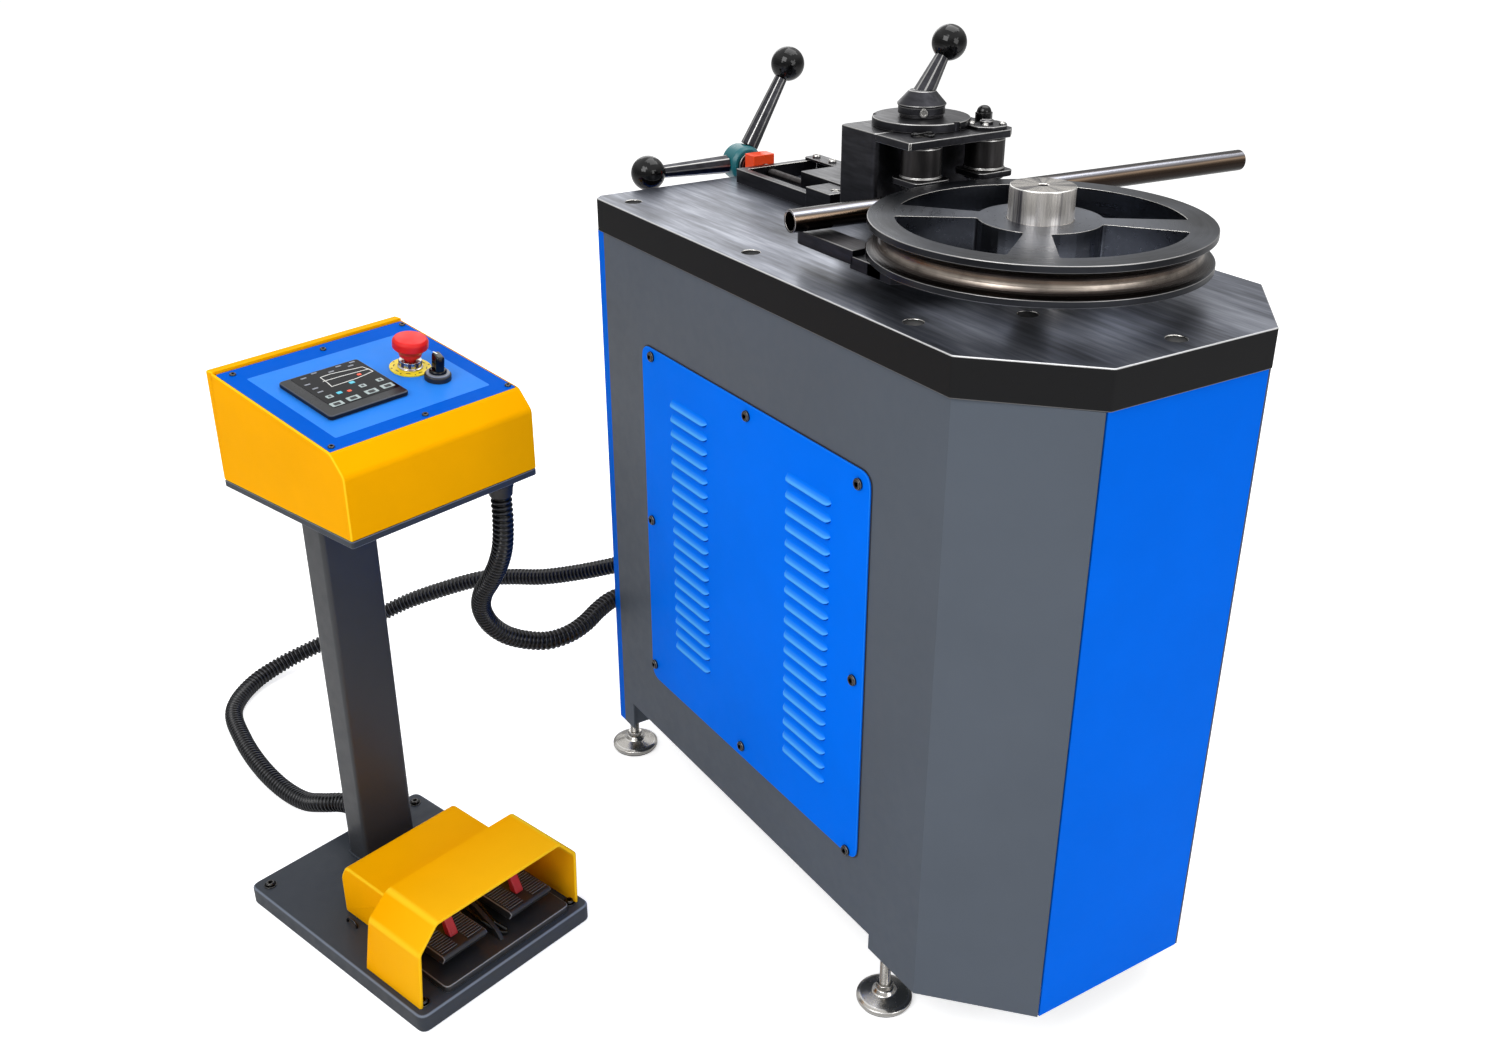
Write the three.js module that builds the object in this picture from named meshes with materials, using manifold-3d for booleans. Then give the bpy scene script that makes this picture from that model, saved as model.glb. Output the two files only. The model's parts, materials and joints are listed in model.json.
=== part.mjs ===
// A floor-standing powered tube bender with its control console, foot switch and two corrugated hoses.
// Millimetres, +Z up. The cabinet's long side runs along X: +X is its blue front, -X its rear with the
// capstan. Every piece is first placed about the middle of the cabinet, on the floor. The last lines move the
// whole object so that its origin is on the floor, below the middle of everything but the two hoses.
import * as THREE from 'three';
import { mergeVertices } from 'three/addons/utils/BufferGeometryUtils.js';
import Module from 'manifold-3d';

const wasm = await Module();
wasm.setup();

// Driving dimensions of the machine
const gap = 0.3;
const tableTop = 1000;
const tableThickness = 50;
const tableLength = 980;
const tableWidth = 494;
const frontChamferLength = 125;
const frontChamferWidth = 119;
const rearChamfer = 12;
const sheetInset = 4;
const sheetThickness = 3;
const spindleX = 223;
const spindleRadius = 40;
const wheelRadius = 209;
const wheelTop = 1086;
const wheelThickness = 48;
const tubeRadius = 15;
const tubeWall = 3;
const slideY = 64;

// Driving dimensions of the console, whose own axes are u towards the operator, v to the right and z up
const consoleX = -258.2;
const consoleY = -714.6;
const consoleTurn = THREE.MathUtils.degToRad(16.7);
const baseDepth = 428;
const baseWidth = 318;
const baseThickness = 30;
const columnU = -140;
const columnV = 36;
const columnDepth = 50;
const columnWidth = 92;
const boxU = -110;
const boxV = 98;
const boxDepth = 306;
const boxWidth = 318;
const boxBottom = 672;

// Heights and edges that follow from them
const tableBottom = tableTop - tableThickness;
const halfLength = tableLength / 2;
const halfWidth = tableWidth / 2;
const sheetX = halfLength - sheetInset;
const sheetY = halfWidth - sheetInset;
const sheetTop = tableBottom - gap;
const wheelBottom = wheelTop - wheelThickness;
const tubeZ = (wheelTop + wheelBottom) / 2;

// Finishes
function finish(color, roughness, metalness) {
  return new THREE.MeshStandardMaterial({ color, roughness, metalness });
}
const greyPaint = finish(0x565c64, 0.55, 0);
const bluePaint = finish(0x006ceb, 0.4, 0);
const yellowPaint = finish(0xfcb008, 0.4, 0);
const slatePaint = finish(0x30363e, 0.5, 0);
const darkSteel = finish(0x3a3d42, 0.35, 0.9);
const blackSteel = finish(0x1c1c1e, 0.4, 0.8);
const brightSteel = finish(0xb8b8b8, 0.25, 1);
const stainless = finish(0xb0b0ac, 0.3, 1);
const castIron = finish(0x4a4d50, 0.7, 0.5);
const blackPlastic = finish(0x0c0c0e, 0.2, 0);
const hosePlastic = finish(0x101012, 0.3, 0);
const orangePlastic = finish(0xff4a12, 0.4, 0);
const tealPaint = finish(0x2b8f96, 0.4, 0.3);
const redPlastic = finish(0xcd2323, 0.35, 0);
const yellowPlastic = finish(0xf2d010, 0.5, 0);
const screenGlass = finish(0x1a1c20, 0.15, 0);

// Solid shapes: a box between two corners, a round bar along Z, and a profile turned about Z
function block(x0, x1, y0, y1, z0, z1) {
  const shape = new THREE.BoxGeometry(x1 - x0, y1 - y0, z1 - z0);
  return shape.translate((x0 + x1) / 2, (y0 + y1) / 2, (z0 + z1) / 2);
}

function bar(radius, z0, z1, sides = 24, topRadius = radius) {
  const shape = new THREE.CylinderGeometry(topRadius, radius, z1 - z0, sides);
  return shape.rotateX(Math.PI / 2).translate(0, 0, (z0 + z1) / 2);
}

function turned(profile, sides = 24) {
  const points = profile.map(([radius, z]) => new THREE.Vector2(radius, z));
  return new THREE.LatheGeometry(points, sides).rotateX(Math.PI / 2);
}

// A shape that stands along Z is laid along X or along Y
const layAlongX = new THREE.Matrix4().makeBasis(
  new THREE.Vector3(0, 1, 0), new THREE.Vector3(0, 0, 1), new THREE.Vector3(1, 0, 0));
const layAlongY = new THREE.Matrix4().makeRotationX(-Math.PI / 2);

// Flat outlines, pushed up along Z, along X from an outline in (y, z), or along Y from an outline in (x, z)
function outline(points) {
  return new THREE.Shape(points.map(([x, y]) => new THREE.Vector2(x, y)));
}

function roundedRect(x0, x1, y0, y1, radius) {
  const shape = new THREE.Shape();
  shape.absarc(x1 - radius, y0 + radius, radius, -Math.PI / 2, 0);
  shape.absarc(x1 - radius, y1 - radius, radius, 0, Math.PI / 2);
  shape.absarc(x0 + radius, y1 - radius, radius, Math.PI / 2, Math.PI);
  shape.absarc(x0 + radius, y0 + radius, radius, Math.PI, Math.PI * 1.5);
  return shape;
}

function pushed(shape, from, to, curveSegments = 3) {
  const settings = { depth: to - from, bevelEnabled: false, curveSegments };
  return new THREE.ExtrudeGeometry(shape, settings).translate(0, 0, from);
}

function pushedAlongX(shape, x0, x1, curveSegments) {
  return pushed(shape, x0, x1, curveSegments).applyMatrix4(layAlongX);
}

function pushedAlongY(shape, y0, y1, curveSegments) {
  return pushed(shape, -y1, -y0, curveSegments).rotateX(Math.PI / 2);
}

// Joining and cutting
function solid(geometry) {
  const plain = geometry.clone();
  plain.deleteAttribute('normal');
  plain.deleteAttribute('uv');
  const welded = mergeVertices(plain, 0.0001);
  const corners = welded.index.array;
  const triangles = [];
  for (let i = 0; i < corners.length; i += 3) {
    const [a, b, c] = corners.slice(i, i + 3);
    if (a !== b && b !== c && c !== a) triangles.push(a, b, c);
  }
  const vertProperties = welded.attributes.position.array;
  const triVerts = Uint32Array.from(triangles);
  return new wasm.Manifold(new wasm.Mesh({ numProp: 3, vertProperties, triVerts }));
}

function surface(body) {
  const mesh = body.getMesh();
  const geometry = new THREE.BufferGeometry();
  geometry.setAttribute('position', new THREE.BufferAttribute(mesh.vertProperties, 3));
  geometry.setIndex(new THREE.BufferAttribute(mesh.triVerts, 1));
  geometry.computeVertexNormals();
  return geometry;
}

function joined(...parts) {
  return surface(parts.map(solid).reduce((whole, part) => whole.add(part)));
}

function cut(body, ...tools) {
  return surface(tools.reduce((rest, tool) => rest.subtract(solid(tool)), solid(body)));
}

// The assembly
const group = new THREE.Group();
const consoleGroup = new THREE.Group();
consoleGroup.position.set(consoleX, consoleY, 0);
consoleGroup.rotation.z = consoleTurn;
group.add(consoleGroup);

function add(name, geometry, material, parent = group) {
  const mesh = new THREE.Mesh(geometry, material);
  mesh.name = name;
  parent.add(mesh);
  return mesh;
}

// Table top: a thick plate with two large front chamfers, a bore for the spindle and blind bolt holes
const chamferStartX = halfLength - frontChamferLength;
const chamferEndY = halfWidth - frontChamferWidth;
const bearingRadius = 50;
const boltHoleRadius = 9;
const boltHoleDepth = 9;
const boltInset = 36;
const boltHoles = [[-427, 1], [-97, 1], [252, 1], [-427, -1], [-97, -1], [252, -1]]
  .map(([x, side]) => [x, side * (halfWidth - boltInset)])
  .concat([[455, 0], [300, -80]]);

function tableOutline() {
  return outline([
    [-halfLength + rearChamfer, -halfWidth], [chamferStartX, -halfWidth], [halfLength, -chamferEndY],
    [halfLength, chamferEndY], [chamferStartX, halfWidth], [-halfLength + rearChamfer, halfWidth],
    [-halfLength, halfWidth - rearChamfer], [-halfLength, -halfWidth + rearChamfer],
  ]);
}

function tablePlate() {
  const holes = boltHoles.map(([x, y]) =>
    bar(boltHoleRadius, tableTop - boltHoleDepth, tableTop + 1, 12).translate(x, y, 0));
  const bore = bar(bearingRadius, tableBottom - 1, tableTop + 1, 28).translate(spindleX, 0, 0);
  return cut(pushed(tableOutline(), tableBottom, tableTop), bore, ...holes);
}
add('table_top', tablePlate(), blackSteel);

// Cabinet sheets: each is a strip bent along an outline seen from above, as thick as the sheet
function bentStrip(points, inward) {
  const inner = points.map((point, i) => {
    const before = new THREE.Vector2(...points[Math.max(i - 1, 0)]);
    const here = new THREE.Vector2(...point);
    const after = new THREE.Vector2(...points[Math.min(i + 1, points.length - 1)]);
    const into = i > 0 ? here.clone().sub(before).normalize() : after.clone().sub(here).normalize();
    const out = i < points.length - 1 ? after.clone().sub(here).normalize() : into.clone();
    const mitre = into.clone().add(out).normalize();
    const across = new THREE.Vector2(-mitre.y, mitre.x).multiplyScalar(inward / mitre.dot(into));
    return here.add(across).toArray();
  });
  return outline([...points, ...inner.reverse()]);
}

const rearReturn = 18;
const legInnerX = -435;
const frontLegX = 260;
const rearLegBottom = 62;
const frontSkirtBottom = 89;
const sideRailBottom = 114;
const panelOpening = { x0: -300, x1: 180, z0: 270, z1: 760 };

function sidePanel(side) {
  const start = [-sheetX + rearReturn + gap, side * sheetY];
  const bend = [chamferStartX - 2, side * sheetY];
  const end = [sheetX, side * (chamferEndY + sheetThickness)];
  const strip = pushed(bentStrip([start, bend, end], side * -sheetThickness), rearLegBottom, sheetTop);
  const low = rearLegBottom - 1;
  const y0 = Math.min(side * (sheetY + 1), side * chamferEndY * 0.5);
  const y1 = Math.max(side * (sheetY + 1), side * chamferEndY * 0.5);
  const underRail = block(legInnerX, frontLegX, y0, y1, low, sideRailBottom);
  const underFront = block(frontLegX - 1, halfLength, y0, y1, low, frontSkirtBottom);
  const { x0, x1, z0, z1 } = panelOpening;
  const opening = block(x0, x1, -sheetY - 1, -sheetY + sheetThickness + 1, z0, z1);
  return side < 0 ? cut(strip, underRail, underFront, opening) : cut(strip, underRail, underFront);
}
add('left_side_panel', sidePanel(-1), greyPaint);
add('right_side_panel', sidePanel(1), greyPaint);

const frontCoverHalf = chamferEndY - gap;
const frontCover = block(
  sheetX - sheetThickness, sheetX, -frontCoverHalf, frontCoverHalf, frontSkirtBottom, sheetTop);
add('front_cover', frontCover, bluePaint);

function rearCover() {
  const returnX = -sheetX + rearReturn;
  const path = [[returnX, -sheetY], [-sheetX, -sheetY], [-sheetX, sheetY], [returnX, sheetY]];
  return cut(
    pushed(bentStrip(path, -sheetThickness), rearLegBottom, sheetTop),
    block(-sheetX - 1, legInnerX, -sheetY + 50, sheetY - 50, rearLegBottom - 1, sideRailBottom));
}
add('rear_cover', rearCover(), bluePaint);

// Access panel with two columns of pressed louvres, screwed over the opening in the left side
const ventX0 = -350;
const ventX1 = 228;
const ventZ0 = 220;
const ventZ1 = 806;
const ventThickness = 3;
const ventCorner = 12;
const ventY = -sheetY - gap;
const ventSheet = pushedAlongY(
  roundedRect(ventX0, ventX1, ventZ0, ventZ1, ventCorner), ventY - ventThickness, ventY);
add('vent_panel', ventSheet, bluePaint);

// Frame: a tray with four corner posts that carry the table and stand on the levelling feet
const postSide = 40;
const rearPostX = -462;
const frontPostX = 286;
const postY = 217;
const trayThickness = 6;
const trayZ = sideRailBottom + 6;
const postTop = tableBottom - gap;

function cabinetFrame() {
  const reach = sheetY - sheetThickness - 1;
  const posts = [];
  for (const x of [rearPostX, frontPostX]) {
    for (const side of [-1, 1]) {
      const y = side * postY;
      const foot = x === rearPostX ? rearLegBottom + 3 : frontSkirtBottom + 3;
      const half = postSide / 2;
      posts.push(block(x - half, x + half, y - half, y + half, foot, postTop));
    }
  }
  const tray = block(rearPostX, chamferStartX - 4, -reach, reach, trayZ, trayZ + trayThickness);
  const nose = block(chamferStartX - 5, sheetX - 20, -chamferEndY, chamferEndY, trayZ, trayZ + trayThickness);
  return joined(tray, nose, ...posts);
}
add('cabinet_frame', cabinetFrame(), slatePaint);

// Levelling feet: a stainless pad with a cone, a hexagon and a threaded stem up into the post
const footRadius = 40;
const footY = 224;
const footShiftX = 8;

function levellingFoot(postFoot) {
  const profile = [
    [0, 0], [footRadius, 0], [footRadius, 9], [footRadius - 3, 12], [15, 20], [11, 24], [11, 31], [8, 32],
    [8, postFoot - 14], [12, postFoot - 13.8], [12, postFoot - 1], [0, postFoot - 1],
  ];
  return turned(profile, 14);
}
const footEnds = [['rear', rearPostX, rearLegBottom + 3], ['front', frontPostX, frontSkirtBottom + 3]];
for (const [end, x, postFoot] of footEnds) {
  for (const [hand, side] of [['left', -1], ['right', 1]]) {
    const foot = add(`${end}_${hand}_foot`, levellingFoot(postFoot), stainless);
    foot.position.set(x - footShiftX, side * footY, 0);
  }
}

// Drive: a gearbox tub under the table, closed by the bearing plate, with a motor flanged below it
const gearModule = 5;
const spindleTeeth = 40;
const pinionTeeth = 12;
const pitchSpread = 0.6;
const pinionX = spindleX - (gearModule * (spindleTeeth + pinionTeeth)) / 2 - pitchSpread;
const gearFace = 30;
const gearZ = 850;
const tubTop = 934;
const tubFloor = 824;
const tubWall = 9;
const tub = { x0: 40, x1: 340, y0: -122, y1: 122 };
const lowerBearingRadius = 25;
const motorRadius = 78;
const motorBottom = 560;

function gearOutline(teeth, phase) {
  const pitch = (gearModule * teeth) / 2;
  const step = (Math.PI * 2) / teeth;
  const flank = [[-0.25, -1.15], [-0.17, 0.85], [0.0, 0.85], [0.17, 0.85], [0.25, -1.15]];
  const points = [];
  for (let tooth = 0; tooth < teeth; tooth += 1) {
    for (const [turn, rise] of flank) {
      if (turn === 0) continue;
      const angle = (tooth + turn * 0.92) * step + phase;
      const radius = pitch + rise * gearModule;
      points.push([radius * Math.cos(angle), radius * Math.sin(angle)]);
    }
  }
  return outline(points);
}

function spindleGear() {
  const bore = bar(spindleRadius + gap, gearZ - 1, gearZ + gearFace + 1, 32);
  return cut(pushed(gearOutline(spindleTeeth, 0), gearZ, gearZ + gearFace), bore);
}
add('spindle_gear', spindleGear(), darkSteel).position.set(spindleX, 0, 0);

function drivePinion() {
  const meshPhase = Math.PI / pinionTeeth;
  const teeth = pushed(gearOutline(pinionTeeth, meshPhase), gearZ - 4, gearZ + gearFace + 4);
  return joined(teeth, bar(12, motorBottom + 130, gearZ + gearFace + 20, 20));
}
add('drive_pinion', drivePinion(), darkSteel).position.set(pinionX, 0, 0);

function gearboxTub() {
  const { x0, x1, y0, y1 } = tub;
  const outer = pushed(roundedRect(x0, x1, y0, y1, 24), tubFloor, tubTop);
  const inner = pushed(
    roundedRect(x0 + tubWall, x1 - tubWall, y0 + tubWall, y1 - tubWall, 16), tubFloor + 10, tubTop + 1);
  const spindleHole = bar(lowerBearingRadius + gap, tubFloor - 1, tubFloor + 11).translate(spindleX, 0, 0);
  const shaftHole = bar(16, tubFloor - 1, tubFloor + 11).translate(pinionX, 0, 0);
  return cut(outer, inner, spindleHole, shaftHole);
}
add('gearbox_housing', gearboxTub(), castIron);

const plateSize = 14;
function bearingPlate() {
  const { x0, x1, y0, y1 } = tub;
  const plate = pushed(roundedRect(x0 - plateSize, x1 + plateSize, y0 - plateSize, y1 + plateSize, 30),
    tubTop + gap, tableBottom - gap);
  return cut(plate, bar(spindleRadius + 1, tubTop - 1, tableBottom + 1).translate(spindleX, 0, 0));
}
add('bearing_plate', bearingPlate(), castIron);

function driveMotor() {
  const shell = joined(
    bar(motorRadius, motorBottom, tubFloor - 14, 32),
    pushed(roundedRect(-85, 85, -85, 85, 20), tubFloor - 16, tubFloor - gap),
    block(-45, 45, -motorRadius - 34, -motorRadius + 10, motorBottom + 90, motorBottom + 190));
  return cut(shell, bar(13, motorBottom + 120, tubFloor + 1, 20));
}
add('drive_motor', driveMotor(), castIron).position.set(pinionX, 0, 0);

// Spindle with its bearing ring, and the bending wheel that it carries
const spindleTop = 1126;
const collarRadius = 62;

function spindle() {
  const low = tubFloor - 20;
  return turned([
    [0, low], [lowerBearingRadius, low], [lowerBearingRadius, gearZ - 8], [spindleRadius, gearZ - 8],
    [spindleRadius, tableTop + 3], [collarRadius, tableTop + 3], [collarRadius, wheelBottom - gap],
    [spindleRadius, wheelBottom - gap], [spindleRadius, spindleTop - 2], [spindleRadius - 2, spindleTop],
    [3, spindleTop], [0, spindleTop - 3],
  ], 28);
}
add('spindle', spindle(), brightSteel).position.set(spindleX, 0, 0);

const ringInner = spindleRadius + 0.5;
const ringOuter = bearingRadius - gap;
const bearingRing = turned([
  [ringInner, tableBottom + 1], [ringOuter, tableBottom + 1], [ringOuter, tableTop - 1],
  [ringInner, tableTop - 1], [ringInner, tableBottom + 1],
], 28);
add('spindle_bearing', bearingRing, brightSteel).position.set(spindleX, 0, 0);

const rimInner = 176;
const hubRadius = 76;
const spokes = 4;
const rimHalfAngle = THREE.MathUtils.degToRad(35.5);
const hubHalfAngle = THREE.MathUtils.degToRad(33);
const windowFillet = 9;

function polar(radius, angle) {
  return new THREE.Vector2(radius * Math.cos(angle), radius * Math.sin(angle));
}

// One window between two spokes: two straight spoke edges, the rim's arc and the hub's arc, corners rounded
function windowOutline(middle) {
  const corners = [
    polar(hubRadius, middle - hubHalfAngle), polar(rimInner, middle - rimHalfAngle),
    polar(rimInner, middle + rimHalfAngle), polar(hubRadius, middle + hubHalfAngle),
  ];
  const along = (from, to) => from.clone().lerp(to, windowFillet / from.distanceTo(to));
  const rimTurn = windowFillet / rimInner;
  const hubTurn = windowFillet / hubRadius;
  const shape = new THREE.Shape();
  const start = along(corners[0], corners[1]);
  shape.moveTo(start.x, start.y);
  const beforeRim = along(corners[1], corners[0]);
  shape.lineTo(beforeRim.x, beforeRim.y);
  const onRim = polar(rimInner, middle - rimHalfAngle + rimTurn);
  shape.quadraticCurveTo(corners[1].x, corners[1].y, onRim.x, onRim.y);
  shape.absarc(0, 0, rimInner, middle - rimHalfAngle + rimTurn, middle + rimHalfAngle - rimTurn);
  const afterRim = along(corners[2], corners[3]);
  shape.quadraticCurveTo(corners[2].x, corners[2].y, afterRim.x, afterRim.y);
  const beforeHub = along(corners[3], corners[2]);
  shape.lineTo(beforeHub.x, beforeHub.y);
  const onHub = polar(hubRadius, middle + hubHalfAngle - hubTurn);
  shape.quadraticCurveTo(corners[3].x, corners[3].y, onHub.x, onHub.y);
  shape.absarc(0, 0, hubRadius, middle + hubHalfAngle - hubTurn, middle - hubHalfAngle + hubTurn, true);
  shape.quadraticCurveTo(corners[0].x, corners[0].y, start.x, start.y);
  return shape;
}

function bendingWheel() {
  const grooveRadius = tubeRadius + 0.5;
  const bore = spindleRadius + gap;
  const profile = [[bore, wheelBottom], [wheelRadius, wheelBottom]];
  const grooveSteps = 6;
  for (let i = 0; i <= grooveSteps; i += 1) {
    const angle = Math.PI * (i / grooveSteps - 0.5);
    profile.push([wheelRadius - grooveRadius * Math.cos(angle), tubeZ + grooveRadius * Math.sin(angle)]);
  }
  profile.push([wheelRadius, wheelTop], [bore, wheelTop], [bore, wheelBottom]);
  const windows = [];
  for (let i = 0; i < spokes; i += 1) {
    const middle = (i * Math.PI * 2) / spokes;
    windows.push(pushed(windowOutline(middle), wheelBottom - 1, wheelTop + 1, 5));
  }
  return cut(turned(profile, 48), ...windows);
}
add('bending_wheel', bendingWheel(), darkSteel).position.set(spindleX, 0, 0);

// Tube hook: an arm bolted round the spindle collar under the wheel, whose raised end lies below the tube
const hookY = -170;
const hookHalf = 19;
const hookTipX = -14 - spindleX;
const hookStepX = 92 - spindleX;
const hookBottom = 1021;
const hookTop = tubeZ - tubeRadius - 2;

function tubeHook() {
  const eye = bar(collarRadius + 20, hookBottom, wheelBottom - gap, 32);
  const nearY = hookY - hookHalf;
  const arm = pushed(outline([[-36, 8], [-92, -125], [-92, nearY], [-45, nearY], [36, -20]]),
    hookBottom, wheelBottom - gap);
  const under = pushed(
    roundedRect(hookStepX, -60, nearY, hookY + hookHalf, 6), hookBottom, wheelBottom - gap);
  const tip = new THREE.Shape();
  tip.absarc(hookTipX, hookY, hookHalf, Math.PI / 2, Math.PI * 1.5);
  tip.lineTo(hookStepX + 8, hookY - hookHalf);
  tip.lineTo(hookStepX + 8, hookY + hookHalf);
  const raised = pushed(tip, hookBottom + 5, hookTop, 8);
  const collarHole = bar(collarRadius + gap, hookBottom - 1, wheelBottom + 1, 40);
  const clearOfWheel = bar(wheelRadius + 1, wheelBottom - gap, hookTop + 1, 48);
  return cut(joined(eye, arm, under, raised), collarHole, clearOfWheel);
}
add('tube_hook', tubeHook(), blackSteel).position.set(spindleX, 0, 0);

// The tube being bent: straight, touching the wheel's groove a little behind the square position
const tubeTurn = THREE.MathUtils.degToRad(4.3);
const tubeBefore = 229;
const tubeAfter = 535;
const tubeReach = wheelRadius + 0.5;

function sampleTube() {
  const bore = tubeRadius - tubeWall;
  return turned([
    [bore, -tubeBefore], [tubeRadius, -tubeBefore], [tubeRadius, tubeAfter], [bore, tubeAfter],
    [bore, -tubeBefore],
  ], 28).applyMatrix4(layAlongY);
}
const tube = add('sample_tube', sampleTube(), darkSteel);
tube.position.set(spindleX - tubeReach * Math.cos(tubeTurn), tubeReach * Math.sin(tubeTurn), tubeZ);
tube.rotation.z = -tubeTurn;

// Slide frame: a shallow open box on the table, with two guide blocks at its front
const frameRearX = -450;
const frameFrontX = -256;
const blockFrontX = -196;
const frameHalf = 79;
const frameWall = 14;
const frameTop = tableTop + 22.5;
const blockTop = tableTop + 32;
const tongueHalf = 34;
const tongueLift = 0.8;
const screwY = 42;
const screwZ = tableTop + 11.5;
const screwRadius = 7;
const tableFace = tableTop + gap;

function slideFrame() {
  const y0 = slideY - frameHalf;
  const y1 = slideY + frameHalf;
  const slotHalf = tongueHalf + 1;
  const rails = cut(
    block(frameRearX, frameFrontX, y0, y1, tableFace, frameTop),
    block(frameRearX + frameWall, frameFrontX + 1, y0 + frameWall, y1 - frameWall, tableTop, frameTop + 1));
  const nearBlock = block(frameFrontX - 1, blockFrontX, y0, slideY - slotHalf, tableFace, blockTop);
  const farBlock = block(frameFrontX - 1, blockFrontX, slideY + slotHalf, y1, tableFace, blockTop);
  const screwHole = bar(screwRadius + 1, -1, frameWall + 2, 16).applyMatrix4(layAlongX)
    .translate(frameRearX, screwY, screwZ);
  return cut(joined(rails, nearBlock, farBlock), screwHole);
}
add('slide_frame', slideFrame(), blackSteel);

// Carriage: a tongue that slides between the guide blocks, and a wall above it that carries the top plate
const carriageNearY = -36;
const carriageFarY = 150;
const wallRearX = -146;
const wallFrontX = -64;
const plateFrontX = 10;
const carriageTop = 1142;
const plateThickness = 10.5;
const wallBottom = blockTop + 1.5;
const tongueRearX = -336;

function carriageBody() {
  const wall = pushed(
    roundedRect(wallRearX, wallFrontX, carriageNearY, carriageFarY, 7), wallBottom, carriageTop);
  const tongue = block(tongueRearX, wallFrontX, slideY - tongueHalf, slideY + tongueHalf,
    tableTop + tongueLift, wallBottom + 1);
  const screwBore = bar(screwRadius + 0.6, 0, 220, 16).applyMatrix4(layAlongX)
    .translate(tongueRearX - 1, screwY, screwZ);
  return cut(joined(wall, tongue), screwBore);
}
add('carriage_body', carriageBody(), blackSteel);

const rollerX = -21;
const rollerSpread = 55;
const rollerYs = [slideY - rollerSpread, slideY + rollerSpread];
const shaftRadius = 10;

function carriageTopPlate() {
  const nearCorner = 2;
  const farCorner = 14;
  const rear = wallFrontX + gap;
  const plate = outline([
    [rear, carriageNearY], [plateFrontX - nearCorner, carriageNearY],
    [plateFrontX, carriageNearY + nearCorner], [plateFrontX, carriageFarY - farCorner],
    [plateFrontX - farCorner, carriageFarY], [rear, carriageFarY],
  ]);
  const holes = rollerYs.map((y) =>
    bar(shaftRadius + 0.5, carriageTop - plateThickness - 1, carriageTop + 1).translate(rollerX, y, 0));
  return cut(pushed(plate, carriageTop - plateThickness, carriageTop), ...holes);
}
add('carriage_top_plate', carriageTopPlate(), blackSteel);

// Follower rollers: each turns on its own shaft in a bearing barrel that hangs from the top plate
const barrelRadius = 27;
const shoeHalf = 30;
const shoeBottom = 1078.6;
const shoeThickness = 8.4;
const barrelTop = carriageTop - plateThickness - gap;
const followerRadius = 28;
const followerReach = 35.2;
const followerHalf = 14.5;

function rollerHousing() {
  const shoe = pushed(
    roundedRect(-shoeHalf, shoeHalf, -shoeHalf, shoeHalf, 8), shoeBottom, shoeBottom + shoeThickness);
  const barrel = bar(barrelRadius, shoeBottom, barrelTop, 24);
  return cut(joined(shoe, barrel), bar(shaftRadius + 0.4, shoeBottom - 1, barrelTop + 1));
}

function followerRoller() {
  const grooveRadius = tubeRadius + 1;
  const low = tubeZ - followerHalf;
  const high = tubeZ + followerHalf;
  const profile = [[0, low], [followerRadius, low]];
  const steps = 5;
  for (let i = 0; i <= steps; i += 1) {
    const z = -followerHalf + 1.5 + (i / steps) * (2 * followerHalf - 3);
    profile.push([followerReach - Math.sqrt(grooveRadius ** 2 - z ** 2), tubeZ + z]);
  }
  const shaftTop = carriageTop - 1;
  profile.push([followerRadius, high], [shaftRadius, high], [shaftRadius, shaftTop], [0, shaftTop]);
  return turned(profile, 20);
}
rollerYs.forEach((y, i) => {
  add(`roller_housing_${i + 1}`, rollerHousing(), darkSteel).position.set(rollerX, y, 0);
  add(`follower_roller_${i + 1}`, followerRoller(), brightSteel).position.set(rollerX, y, 0);
});

// Clamp on the carriage: a fixed disc, a conical hub with a tapered handle, and the ball on its end
const discX = -83;
const discY = 55;
const discRadius = 67;
const discTop = carriageTop + 12;
const hubBase = discTop + gap;
const leverRise = new THREE.Vector3(-8, 49, 65);
const leverStart = 26;
const leverBallRadius = 24;

const lockDisc = bar(discRadius, carriageTop + gap, discTop, 48);
add('lock_disc', lockDisc, blackSteel).position.set(discX, discY, 0);

const leverEnd = new THREE.Vector3(0, 0, leverStart).add(leverRise);
const leverDirection = leverRise.clone().normalize();
const leverTurn = new THREE.Quaternion().setFromUnitVectors(new THREE.Vector3(0, 0, 1), leverDirection);

function clampLever() {
  const hub = turned([[0, 0], [32, 0], [32, 14], [34, 16], [18, 35], [0, 35]], 28);
  const length = leverRise.length() - leverBallRadius + 1;
  const handle = bar(15.5, 0, length, 8, 10.5).applyQuaternion(leverTurn).translate(0, 0, leverStart);
  return joined(hub, handle);
}
add('clamp_lever', clampLever(), blackSteel).position.set(discX, discY, hubBase);

function ballKnob(radius, flat, sides = 16) {
  const profile = [[0, -flat]];
  const start = Math.acos(flat / radius);
  const steps = 7;
  for (let i = 0; i <= steps; i += 1) {
    const angle = start + (Math.PI - start) * (i / steps);
    profile.push([radius * Math.sin(angle), -radius * Math.cos(angle)]);
  }
  profile[profile.length - 1][0] = 0;
  return turned(profile, sides);
}
const leverKnob = add('clamp_lever_knob', ballKnob(leverBallRadius, leverBallRadius - 1.6), blackPlastic);
leverKnob.position.set(discX, discY, hubBase).add(leverEnd);
leverKnob.quaternion.copy(leverTurn);

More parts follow.
